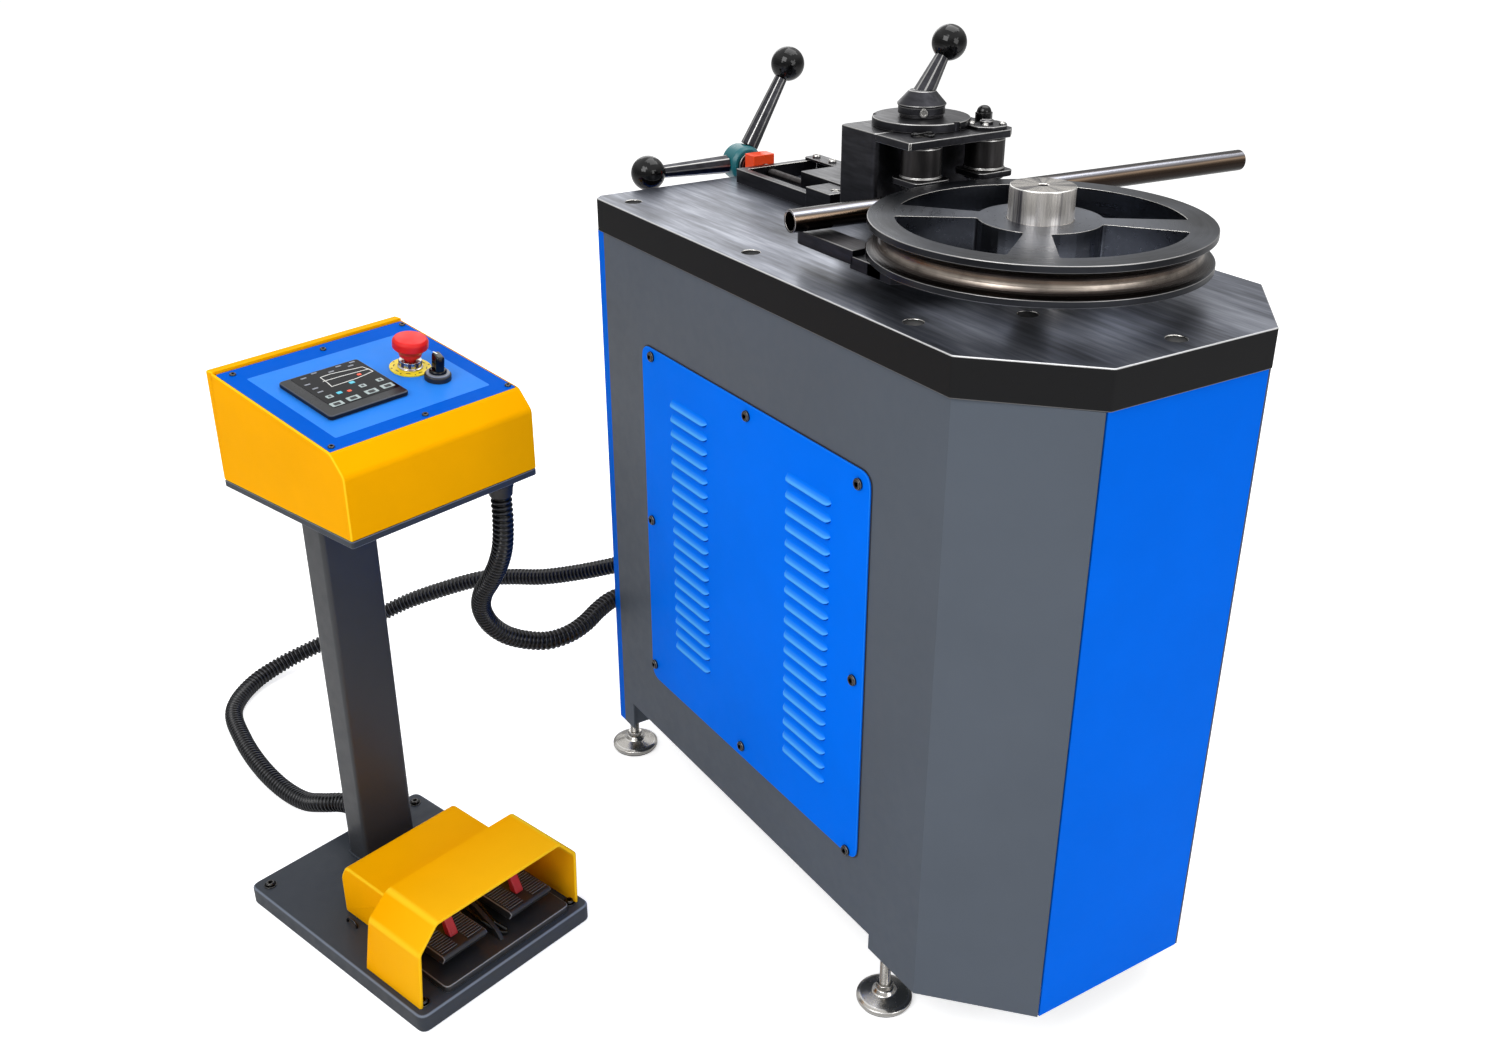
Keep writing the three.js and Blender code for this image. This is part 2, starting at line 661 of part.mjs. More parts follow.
// A domed nut on a washer, at the far corner of the carriage
const nutX = -45;
const nutY = 134;
function domedNut() {
  const washerTop = 4;
  const hexTop = 15;
  const dome = turned([
    [0, hexTop - 1], [9.5, hexTop - 1], [9.5, hexTop + 2], [7.5, hexTop + 6], [4, hexTop + 8.5],
    [0, hexTop + 9],
  ], 16);
  return joined(bar(15, 0, washerTop, 20), bar(12, washerTop - 1, hexTop, 6), dome);
}
add('pin_nut', domedNut(), blackSteel).position.set(nutX, nutY, carriageTop + gap);

// Capstan: the feed screw, its hub behind the cabinet, three arms at 120 degrees and their balls
const hubRearX = -548;
const hubFrontX = -504;
const capstanHubRadius = 29;
const screwFrontX = -240;
const armTilt = THREE.MathUtils.degToRad(59);
const armReach = 172;
const armBallRadius = 27;
const armX = -526;

const screwRearX = hubRearX + 8;

function feedScrew() {
  const collarFront = frameRearX - screwRearX - 1;
  const rod = bar(screwRadius, 0, screwFrontX - screwRearX, 16);
  return joined(rod, bar(11, collarFront - 4, collarFront, 20)).applyMatrix4(layAlongX);
}
add('feed_screw', feedScrew(), brightSteel).position.set(screwRearX, screwY, screwZ);

function capstanHub() {
  const length = hubFrontX - hubRearX;
  const shell = turned([
    [0, 0], [18, 0], [capstanHubRadius, 8], [capstanHubRadius, length - 6],
    [capstanHubRadius - 6, length], [0, length],
  ], 30);
  return cut(shell, bar(screwRadius + gap, 7, length + 1, 16)).applyMatrix4(layAlongX);
}
add('capstan_hub', capstanHub(), tealPaint).position.set(hubRearX, screwY, screwZ);

for (let i = 0; i < 3; i += 1) {
  const angle = armTilt + (i * Math.PI * 2) / 3;
  const across = new THREE.Vector3(0, Math.cos(angle), Math.sin(angle));
  const turn = new THREE.Quaternion().setFromUnitVectors(new THREE.Vector3(0, 0, 1), across);
  const foot = new THREE.Vector3(armX, screwY, screwZ);
  const arm = bar(15, capstanHubRadius + 1, armReach - armBallRadius + 1, 8, 10.5);
  const armMesh = add(`capstan_arm_${i + 1}`, arm, blackSteel);
  armMesh.quaternion.copy(turn);
  armMesh.position.copy(foot);
  const knob = add(`capstan_knob_${i + 1}`, ballKnob(armBallRadius, armBallRadius - 1.8), blackPlastic);
  knob.quaternion.copy(turn);
  knob.position.copy(foot).addScaledVector(across, armReach + 1);
}

const thrustRearX = -484;
const thrustFrontX = -457;
function thrustBlock() {
  const shape = roundedRect(screwY - 20, screwY + 20, tableFace, tableTop + 36, 6);
  const bore = bar(screwRadius + 1, -1, thrustFrontX - thrustRearX + 1, 16).applyMatrix4(layAlongX);
  return cut(pushedAlongX(shape, thrustRearX, thrustFrontX, 3), bore.translate(thrustRearX, screwY, screwZ));
}
add('thrust_block', thrustBlock(), orangePlastic);

// Console base, column and control box, in the console's own axes
const halfDepth = baseDepth / 2;
const halfBase = baseWidth / 2;
const baseFace = baseThickness + gap;

add('console_base', pushed(roundedRect(-halfDepth, halfDepth, -halfBase, halfBase, 14), 0, baseThickness),
  slatePaint, consoleGroup);

const floorPlate = 10;
const columnTop = boxBottom - floorPlate - gap;
const columnShape = roundedRect(
  columnU - columnDepth / 2, columnU + columnDepth / 2,
  columnV - columnWidth / 2, columnV + columnWidth / 2, 5);
add('console_column', pushed(columnShape, baseFace, columnTop, 3), slatePaint, consoleGroup);

const boxFrontU = boxU + boxDepth / 2;
const boxRearU = boxU - boxDepth / 2;
const boxLeftV = boxV - boxWidth / 2;
const boxRightV = boxV + boxWidth / 2;
const faceTop = boxBottom + 91;
const bevelDepth = 25;
const bevelRise = 28;
const rearTop = boxBottom + 165;
const boxWall = 4;
const slopeFrontU = boxFrontU - bevelDepth;
const slopeFrontZ = faceTop + bevelRise;
const slopeRearU = boxRearU + 16;
const slopeRearZ = rearTop - 3;
const slopeAngle = Math.atan2(slopeRearZ - slopeFrontZ, slopeFrontU - slopeRearU);
const slopeLength = Math.hypot(slopeRearZ - slopeFrontZ, slopeFrontU - slopeRearU);

add('console_floor', pushed(roundedRect(boxRearU, boxFrontU, boxLeftV, boxRightV, 3),
  boxBottom - floorPlate, boxBottom - gap), slatePaint, consoleGroup);

// The control panel lies in the sloping top; its own axes are u down the slope, v to the right, z out of it
const panelGroup = new THREE.Group();
panelGroup.position.set((slopeFrontU + slopeRearU) / 2, boxV, (slopeFrontZ + slopeRearZ) / 2);
panelGroup.rotation.y = slopeAngle;
consoleGroup.add(panelGroup);
const panelHalfDepth = slopeLength / 2 - 3;
const panelHalfWidth = boxWidth / 2 - 4;
const panelThickness = 4;

function intoConsole(geometry) {
  const turn = new THREE.Matrix4().makeRotationY(slopeAngle);
  return geometry.applyMatrix4(turn.setPosition(panelGroup.position));
}

function controlBox() {
  const side = outline([
    [boxRearU, boxBottom], [boxFrontU, boxBottom], [boxFrontU, faceTop], [slopeFrontU, slopeFrontZ],
    [slopeRearU, slopeRearZ], [slopeRearU, rearTop], [boxRearU, rearTop],
  ]);
  const hollow = outline([
    [boxRearU + boxWall, boxBottom - 1], [boxFrontU - boxWall, boxBottom - 1], [boxFrontU - boxWall, faceTop],
    [slopeFrontU - boxWall, slopeFrontZ - 10], [boxRearU + boxWall, slopeRearZ - 10],
  ]);
  const recess = intoConsole(block(-panelHalfDepth - gap, panelHalfDepth + gap, -panelHalfWidth - gap,
    panelHalfWidth + gap, -panelThickness - gap, 10));
  const window = intoConsole(block(-panelHalfDepth + 12, panelHalfDepth - 12, -panelHalfWidth + 12,
    panelHalfWidth - 12, -30, 10));
  return cut(
    pushedAlongY(side, boxLeftV, boxRightV),
    pushedAlongY(hollow, boxLeftV + boxWall, boxRightV - boxWall), recess, window);
}
add('control_box', controlBox(), yellowPaint, consoleGroup);

const controlPanel = block(
  -panelHalfDepth, panelHalfDepth, -panelHalfWidth, panelHalfWidth, -panelThickness, 0);
add('control_panel', controlPanel, bluePaint, panelGroup);

const screenCentre = { u: 7, v: -45 };
const touchScreen = pushed(roundedRect(-60, 60, -64, 64, 5), gap, 8);
add('touch_screen', touchScreen, screenGlass, panelGroup).position.set(screenCentre.u, screenCentre.v, 0);

const stopCentre = { u: 1, v: 71 };
const stopCollar = turned([[8.5, gap], [29.5, gap], [29.5, 2], [16, 2.4], [16, 14], [8.5, 14], [8.5, gap]], 28);
add('stop_collar', stopCollar, yellowPlastic, panelGroup).position.set(stopCentre.u, stopCentre.v, 0);
const stopButton = turned([
  [0, 8], [8, 8], [8, 19.5], [17, 19.5], [18, 27], [24, 34], [25, 43], [22, 48], [0, 49],
], 28);
add('stop_button', stopButton, redPlastic, panelGroup).position.set(stopCentre.u, stopCentre.v, 0);

const selectorCentre = { u: 49, v: 82 };
function selectorKnob() {
  const base = turned([[0, gap], [19, gap], [19, 9], [16, 11], [0, 11]], 28);
  return joined(base, pushed(roundedRect(-13, 13, -8, 8, 5), 10, 38));
}
const selector = add('selector_knob', selectorKnob(), blackPlastic, panelGroup);
selector.position.set(selectorCentre.u, selectorCentre.v, 0);

// Foot switch: a tray with two treadles under a folded guard
const guardHalf = 149;
const guardTop = 167;
const guardBend = 128;
const guardTopHalf = 114;
const guardRear = { low: 72, high: 98 };
const guardFront = { low: 198, high: 208 };
const guardWall = 4;
const hood = { rear: -52, left: -96, right: 108, top: 120 };
const hoodFront = 96;

// The arch: the outline seen from the front, pushed along the depth and then cut by two leaning planes
function guardArch(inset) {
  const side = guardHalf - inset;
  const top = guardTop - inset;
  const bendHalf = side - 3;
  const topHalf = guardTopHalf - inset * 0.5;
  const low = inset ? baseFace - 1 : baseFace;
  return pushedAlongX(outline([
    [-side, low], [side, low], [bendHalf, guardBend], [topHalf, top], [-topHalf, top], [-bendHalf, guardBend],
  ]), guardRear.low - 30, guardFront.high + 30);
}

// A wedge of empty space before the leaning front edge (towards +u) or behind the leaning rear edge
function leaningCut(edge, away) {
  const lean = (edge.high - edge.low) / (guardTop - baseFace);
  const below = edge.low - 2 * lean;
  const above = edge.high + 4 * lean;
  return pushedAlongY(outline([
    [below, baseFace - 2], [away, baseFace - 2], [away, guardTop + 4], [above, guardTop + 4],
  ]), -guardHalf - 1, guardHalf + 1);
}

function rearHousing(inset) {
  const low = inset ? baseFace - 1 : baseFace;
  return pushedAlongY(outline([
    [hood.rear + inset, low], [hoodFront + inset, low], [hoodFront + inset, hood.top - inset],
    [hood.rear + 14 + inset * 0.6, hood.top - inset], [hood.rear + inset, hood.top - 24],
  ]), hood.left + inset, hood.right - inset);
}

function pedalGuard() {
  const wellBefore = guardFront.high + 40;
  const wellBehind = guardRear.low - 40;
  const innerRear = { low: guardRear.low + guardWall, high: guardRear.high + guardWall };
  const arch = cut(guardArch(0), leaningCut(guardFront, wellBefore), leaningCut(guardRear, wellBehind));
  const inside = cut(guardArch(guardWall), leaningCut(innerRear, wellBehind));
  return cut(joined(arch, rearHousing(0)), inside, rearHousing(guardWall));
}
add('pedal_guard', pedalGuard(), yellowPaint, consoleGroup);

const trayTop = 42;
const pivotU = 106;
const pivotZ = 62;
const treadleLength = 78;
const treadleHalf = 39;
const treadleVs = { left: -52, right: 71 };
const flapU = 38;
const flapZ = 12.6;

function pedalTray() {
  const plate = pushed(roundedRect(84, 204, -106, 126, 8), baseFace, trayTop);
  const posts = Object.values(treadleVs).map((v) =>
    block(pivotU - 12, pivotU + 10, v - 26, v + 26, trayTop - 1, pivotZ - 9));
  const dividerSide = outline([[96, trayTop - 1], [188, trayTop - 1], [176, 56], [130, 74], [96, 78]]);
  const divider = pushedAlongY(dividerSide, 6, 13);
  return joined(plate, divider, ...posts);
}
add('pedal_tray', pedalTray(), blackPlastic, consoleGroup);

// A treadle is hinged at its rear end. A red safety flap, hinged at its own foot, stands on the middle of it
function treadle() {
  const side = outline([
    [-10, -6], [treadleLength - 6, -3], [treadleLength, 8], [treadleLength - 4, 12], [-6, 10], [-12, 2],
  ]);
  return pushedAlongY(side, -treadleHalf, treadleHalf);
}

function latchFlap() {
  const side = outline([[0, 0], [14, 0], [11, 8], [1, 27], [-7, 25], [-3, 11]]);
  return pushedAlongY(side, -7, 7);
}
for (const [hand, v] of Object.entries(treadleVs)) {
  add(`${hand}_pedal`, treadle(), blackPlastic, consoleGroup).position.set(pivotU, v, pivotZ);
  add(`${hand}_latch`, latchFlap(), redPlastic, consoleGroup).position.set(pivotU + flapU, v, pivotZ + flapZ);
}

// Glands where the hoses enter the console and the rear of the cabinet
const glandRadius = 20;
const hoseRadius = 16;

function gland(length) {
  return turned([[0, 0], [glandRadius, 0], [glandRadius, length * 0.45], [hoseRadius + 2, length * 0.55],
    [hoseRadius + 1, length], [0, length]], 16);
}
const boxGlandPlace = { u: 12, v: 213 };
const glandLength = 26;
const boxGland = add('console_gland', gland(glandLength).rotateX(Math.PI), blackPlastic, consoleGroup);
boxGland.position.set(boxGlandPlace.u, boxGlandPlace.v, boxBottom - floorPlate - gap);

const columnHoseZ = 72;
const columnRearU = columnU - columnDepth / 2 - gap;

const elbowX = -514;
const elbowY = -150;
const elbowZ = 288;
const elbowLength = 26;
const straightY = -60;
const straightZ = 284;
const straightLength = 30;
const glandPlate = 5;
function rearGlands() {
  const face = -sheetX - gap;
  const plate = block(face - glandPlate, face, elbowY - 34, straightY + 34, elbowZ - 34, elbowZ + 30);
  const neckRear = elbowX - 14;
  const neck = bar(glandRadius, 0, face - neckRear, 16).applyMatrix4(layAlongX)
    .translate(neckRear, elbowY, elbowZ);
  const outlet = bar(hoseRadius + 2, elbowY - elbowLength, elbowY, 16).applyMatrix4(layAlongY)
    .translate(elbowX, 0, elbowZ);
  const straight = gland(straightLength).applyMatrix4(layAlongX).rotateZ(Math.PI)
    .translate(face - glandPlate + 1, straightY, straightZ);
  return joined(plate, neck, outlet, straight);
}
add('rear_glands', rearGlands(), blackPlastic);

// Corrugated hoses: a ring on each crest and one in each valley, carried along the route, with a plain bore
const hoseValley = 13.5;
const hoseBore = 7;
const ribPitch = 14;
const ringPoints = 8;
const boreStride = 5;

function inMachineAxes(u, v, z) {
  return new THREE.Vector3(u, v, z).applyAxisAngle(new THREE.Vector3(0, 0, 1), consoleTurn)
    .add(new THREE.Vector3(consoleX, consoleY, 0));
}

function ribbedHose(route) {
  const curve = new THREE.CatmullRomCurve3(route, false, 'centripetal');
  curve.arcLengthDivisions = 800;
  const length = curve.getLength();
  const straightEnd = 2 * hoseRadius;
  const ribs = Math.round((length - 2 * straightEnd) / ribPitch);
  const stations = [[0, hoseValley]];
  for (let i = 0; i <= ribs; i += 1) {
    const valleyAt = straightEnd + (i / ribs) * (length - 2 * straightEnd);
    stations.push([valleyAt, hoseValley]);
    if (i < ribs) stations.push([valleyAt + (0.5 / ribs) * (length - 2 * straightEnd), hoseRadius]);
  }
  stations.push([length, hoseValley]);
  const outer = rings(curve, length, stations);
  const bore = stations.filter((station, i) => i % (2 * boreStride) === 0 || i === stations.length - 1)
    .map(([at]) => [at, hoseBore]);
  const inner = rings(curve, length, bore);
  const bend = tightestBend(curve, length).toFixed(0);
  const clear = selfGap(curve, length).toFixed(0);
  console.log(`hose ${length.toFixed(0)}, ribs ${ribs}, tightest bend ${bend}, gap to itself ${clear}`);
  return hoseSurface(outer, inner);
}

// Rings of points square to the route. Each ring starts in the direction of the last one, turned as little
// as possible
function rings(curve, length, stations) {
  let side = new THREE.Vector3(0.3, 0.2, 0.93);
  return stations.map(([at, radius]) => {
    const centre = curve.getPointAt(at / length);
    const tangent = curve.getTangentAt(at / length);
    side = side.clone().addScaledVector(tangent, -side.dot(tangent)).normalize();
    const other = tangent.clone().cross(side);
    return Array.from({ length: ringPoints }, (_, i) => {
      const angle = (i / ringPoints) * Math.PI * 2;
      return centre.clone()
        .addScaledVector(side, radius * Math.cos(angle))
        .addScaledVector(other, radius * Math.sin(angle));
    });
  });
}

function hoseSurface(outer, inner) {
  const points = [];
  const triangles = [];
  const place = (list) => list.map((ring) => ring.map((point) => points.push(point) - 1));
  const skin = (a, b) => {
    for (let i = 0; i < ringPoints; i += 1) {
      const j = (i + 1) % ringPoints;
      triangles.push(a[i], a[j], b[j], a[i], b[j], b[i]);
    }
  };
  const outside = place(outer);
  const inside = place(inner);
  outside.slice(1).forEach((ring, i) => skin(outside[i], ring));
  inside.slice(1).forEach((ring, i) => skin(ring, inside[i]));
  skin(inside[0], outside[0]);
  skin(outside[outside.length - 1], inside[inside.length - 1]);
  const geometry = new THREE.BufferGeometry().setFromPoints(points);
  geometry.setIndex(triangles);
  geometry.computeVertexNormals();
  return geometry;
}

// The smallest radius of a circle through three neighbouring points, a little over one hose radius apart
function tightestBend(curve, length) {
  const points = curve.getSpacedPoints(Math.round(length / 20));
  let least = Infinity;
  for (let i = 1; i < points.length - 1; i += 1) {
    const a = points[i].distanceTo(points[i - 1]);
    const b = points[i + 1].distanceTo(points[i]);
    const c = points[i + 1].distanceTo(points[i - 1]);
    const half = (a + b + c) / 2;
    const area = Math.sqrt(Math.max(half * (half - a) * (half - b) * (half - c), 1e-9));
    least = Math.min(least, (a * b * c) / (4 * area));
  }
  return least;
}

// The least clear distance between two places on one hose that are at least eight diameters apart along it
function selfGap(curve, length) {
  const count = 200;
  const points = curve.getSpacedPoints(count);
  const apart = Math.ceil((16 * hoseRadius * count) / length);
  let least = Infinity;
  for (let i = 0; i < count; i += 1) {
    for (let j = i + apart; j <= count; j += 1) {
      least = Math.min(least, points[i].distanceTo(points[j]) - 2 * hoseRadius);
    }
  }
  return least;
}

// The routes. Each end leaves its gland straight, and the points between follow the hose down to the floor
const boxExitZ = boxBottom - floorPlate - 2 * gap - glandLength;
const boxExit = inMachineAxes(boxGlandPlace.u, boxGlandPlace.v, boxExitZ);
const elbowMouth = new THREE.Vector3(elbowX, elbowY - elbowLength - gap, elbowZ);
const panelHoseRoute = [
  boxExit, boxExit.clone().setZ(boxExitZ - 18), boxExit.clone().setZ(boxExitZ - 36),
  new THREE.Vector3(-318, -507, 550), new THREE.Vector3(-343, -507, 506), new THREE.Vector3(-374, -509, 466),
  new THREE.Vector3(-407, -512, 426), new THREE.Vector3(-435, -505, 384), new THREE.Vector3(-451, -487, 344),
  new THREE.Vector3(-459, -459, 311), new THREE.Vector3(-462, -423, 288), new THREE.Vector3(-461, -384, 275),
  new THREE.Vector3(-464, -343, 274), new THREE.Vector3(-476, -307, 278), new THREE.Vector3(-494, -275, 283),
  new THREE.Vector3(-508, -243, 287),
  elbowMouth.clone().setY(elbowMouth.y - 34),
  elbowMouth.clone().setY(elbowMouth.y - 17), elbowMouth,
];
add('panel_hose', ribbedHose(panelHoseRoute), hosePlastic);

const straightMouthX = -sheetX - gap - glandPlate + 1 - straightLength - gap;
const straightMouth = new THREE.Vector3(straightMouthX, straightY, straightZ);
const columnMouth = inMachineAxes(columnRearU, columnV, columnHoseZ);
const footHoseRoute = [
  straightMouth, straightMouth.clone().setX(straightMouthX - 17),
  straightMouth.clone().setX(straightMouthX - 34),
  new THREE.Vector3(-609, -71, 280), new THREE.Vector3(-658, -100, 264), new THREE.Vector3(-704, -140, 240),
  new THREE.Vector3(-759, -184, 214), new THREE.Vector3(-819, -233, 191), new THREE.Vector3(-876, -273, 177),
  new THREE.Vector3(-927, -314, 162), new THREE.Vector3(-978, -378, 134), new THREE.Vector3(-1019, -446, 104),
  new THREE.Vector3(-1035, -523, 76), new THREE.Vector3(-1044, -605, 52), new THREE.Vector3(-1049, -689, 29),
  new THREE.Vector3(-1021, -759, 19), new THREE.Vector3(-951, -814, 17), new THREE.Vector3(-844, -827, 17),
  new THREE.Vector3(-731, -822, 17), new THREE.Vector3(-646, -807, 19), new THREE.Vector3(-582, -790, 30),
  new THREE.Vector3(-535, -773, 50), new THREE.Vector3(-500, -752, 64),
  inMachineAxes(columnRearU - 48, columnV, columnHoseZ - 1),
  inMachineAxes(columnRearU - 24, columnV, columnHoseZ), columnMouth,
];
add('foot_hose', ribbedHose(footHoseRoute), hosePlastic);

// The origin: on the floor, below the middle of everything but the hoses
group.updateMatrixWorld(true);
const reach = new THREE.Box3();
group.traverse((piece) => {
  if (piece.isMesh && !piece.name.endsWith('hose')) reach.expandByObject(piece, true);
});
const middle = reach.getCenter(new THREE.Vector3());
group.position.set(-middle.x, -middle.y, 0);
console.log('middle of the object in machine axes', middle.x.toFixed(3), middle.y.toFixed(3));

export default group;
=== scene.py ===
# %% [markdown]
# # A powered tube bender with its control console
# A steel cabinet carries a heavy table. On the table a grooved wheel turns on a spindle and draws a tube
# round itself, while a carriage with two grooved rollers presses the tube against it. Beside the cabinet
# stands a console with a touch screen, an emergency stop, a selector and a guarded foot switch; two
# corrugated hoses join it to the machine. The solid model gives the sizes of the parts and their places. This
# lesson dresses it: most visible pieces are made again as smooth surfaces with eased edges, a few sheets keep
# the solid model's faces, and each gets a finish made of shader nodes.

# %% Load the solid model
import json
import math

import bmesh
import bpy
import numpy as np
from mathutils import Matrix, Vector


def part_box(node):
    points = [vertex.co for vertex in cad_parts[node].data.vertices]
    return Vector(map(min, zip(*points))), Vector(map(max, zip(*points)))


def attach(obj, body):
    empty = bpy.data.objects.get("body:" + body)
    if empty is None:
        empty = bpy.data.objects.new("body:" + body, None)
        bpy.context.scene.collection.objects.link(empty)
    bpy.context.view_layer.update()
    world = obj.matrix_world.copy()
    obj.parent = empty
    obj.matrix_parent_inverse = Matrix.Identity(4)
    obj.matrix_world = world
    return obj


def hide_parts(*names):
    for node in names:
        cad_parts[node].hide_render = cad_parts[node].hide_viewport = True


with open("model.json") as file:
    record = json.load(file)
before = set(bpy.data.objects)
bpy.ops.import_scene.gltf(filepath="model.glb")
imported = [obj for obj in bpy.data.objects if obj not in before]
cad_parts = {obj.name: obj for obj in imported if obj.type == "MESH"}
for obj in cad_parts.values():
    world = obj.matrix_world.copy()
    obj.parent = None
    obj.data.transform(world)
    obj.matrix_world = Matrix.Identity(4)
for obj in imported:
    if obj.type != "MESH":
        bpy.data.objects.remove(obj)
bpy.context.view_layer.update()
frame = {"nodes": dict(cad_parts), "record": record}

# %% [markdown]
# ## Axes
# The drawing of the machine is in millimetres about the middle of its table, on the floor: x runs to the
# front, y to the right side and z up. The console stands turned beside it, and its control panel is tilted.
# So a piece is worked out in the axes that suit it, and one matrix takes it to metres in the frame.

# %% Machine, console and panel axes
MM = 0.001
# Pieces that rest on each other keep a small gap, in millimetres.
GAP = 0.3
table_low, table_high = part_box("table_top")
middle = (Vector(table_low) + Vector(table_high)) / 2
machine = Matrix.Translation((middle.x, middle.y, 0)) @ Matrix.Scale(MM, 4)

CONSOLE_AT = (-258.2, -714.6, 0)
CONSOLE_TURN = math.radians(16.7)
console = machine @ Matrix.Translation(CONSOLE_AT) @ Matrix.Rotation(CONSOLE_TURN, 4, "Z")

BOX_FRONT, BOX_REAR = 43, -263
BOX_LEFT, BOX_RIGHT = -61, 257
BOX_BOTTOM, FACE_TOP, BOX_TOP = 672, 763, 837
FLOOR_PLATE = 10
SLOPE_FRONT = (BOX_FRONT - 25, FACE_TOP + 28)
SLOPE_REAR = (BOX_REAR + 16, BOX_TOP - 3)
slope_run = SLOPE_FRONT[0] - SLOPE_REAR[0]
slope_rise = SLOPE_REAR[1] - SLOPE_FRONT[1]
SLOPE = math.atan2(slope_rise, slope_run)
SLOPE_LENGTH = math.hypot(slope_rise, slope_run)
panel_middle = ((SLOPE_FRONT[0] + SLOPE_REAR[0]) / 2, (BOX_LEFT + BOX_RIGHT) / 2,
                (SLOPE_FRONT[1] + SLOPE_REAR[1]) / 2)
panel = console @ Matrix.Translation(panel_middle) @ Matrix.Rotation(SLOPE, 4, "Y")
print("panel tilt", round(math.degrees(SLOPE), 1), "degrees, length", round(SLOPE_LENGTH), "mm")

# A drawing in x and y stood up, so that its y points up; and an upright bar laid along x.
upright = Matrix(((1, 0, 0, 0), (0, 0, -1, 0), (0, 1, 0, 0), (0, 0, 0, 1)))
along_x = Matrix.Rotation(math.pi / 2, 4, "Y")


def moved(place, x=0.0, y=0.0, z=0.0):
    """The axes `place` carried to another origin, in their own millimetres."""
    return place @ Matrix.Translation((x, y, z))


def pointing(place, origin, direction):
    """Axes with their z along `direction` and their origin at `origin`, both given in `place`."""
    turn = Vector(direction).normalized().to_track_quat("Z", "Y").to_matrix().to_4x4()
    return place @ Matrix.Translation(origin) @ turn


# %% [markdown]
# ## Camera
# The camera is solved from the straight edges of the table and the console in the photograph. It stands off
# the machine's front left corner, one and a half metres up, and looks down at 26 degrees with a slightly wide
# lens.

# %% Camera
CAMERA_AT = (1510.0, -1228.2, 1528.3)
CAMERA_DOWN, CAMERA_HEADING = 25.996, 57.586
SENSOR_WIDTH, FOCAL_LENGTH = 36, 34.89
camera_data = bpy.data.cameras.new("camera")
camera_data.sensor_fit = "HORIZONTAL"
camera_data.sensor_width = SENSOR_WIDTH
camera_data.lens = FOCAL_LENGTH
camera_data.clip_end = 100
camera = bpy.data.objects.new("camera", camera_data)
camera.location = machine @ Vector(CAMERA_AT)
camera.rotation_euler = (math.radians(90 - CAMERA_DOWN), 0, math.radians(CAMERA_HEADING))
bpy.context.scene.collection.objects.link(camera)
bpy.context.scene.camera = camera
bpy.context.scene.view_settings.view_transform = "Standard"
print("camera at", [round(v, 3) for v in camera.location])

# %% [markdown]
# ## Shader maths as Python
# A finish is a small network of nodes. Written one link at a time it is hard to read, so `Value` wraps a
# node's output and lets Python's own operators add the Math nodes. `Finish.node` makes any other node.


# %% The two classes that write nodes
class Value:
    """One output of a node. An expression on it adds Math nodes."""

    def __init__(self, finish, output):
        self.finish = finish
        self.output = output

    def math(self, operation, other, **settings):
        return self.finish.node("ShaderNodeMath", {"operation": operation, **settings}, {0: self, 1: other})

    def __add__(self, other):
        return self.math("ADD", other)

    def __sub__(self, other):
        return self.math("SUBTRACT", other)

    def __mul__(self, other):
        return self.math("MULTIPLY", other)

    def __pow__(self, other):
        return self.math("POWER", other)

    def clamped(self):
        return self.math("ADD", 0.0, use_clamp=True)


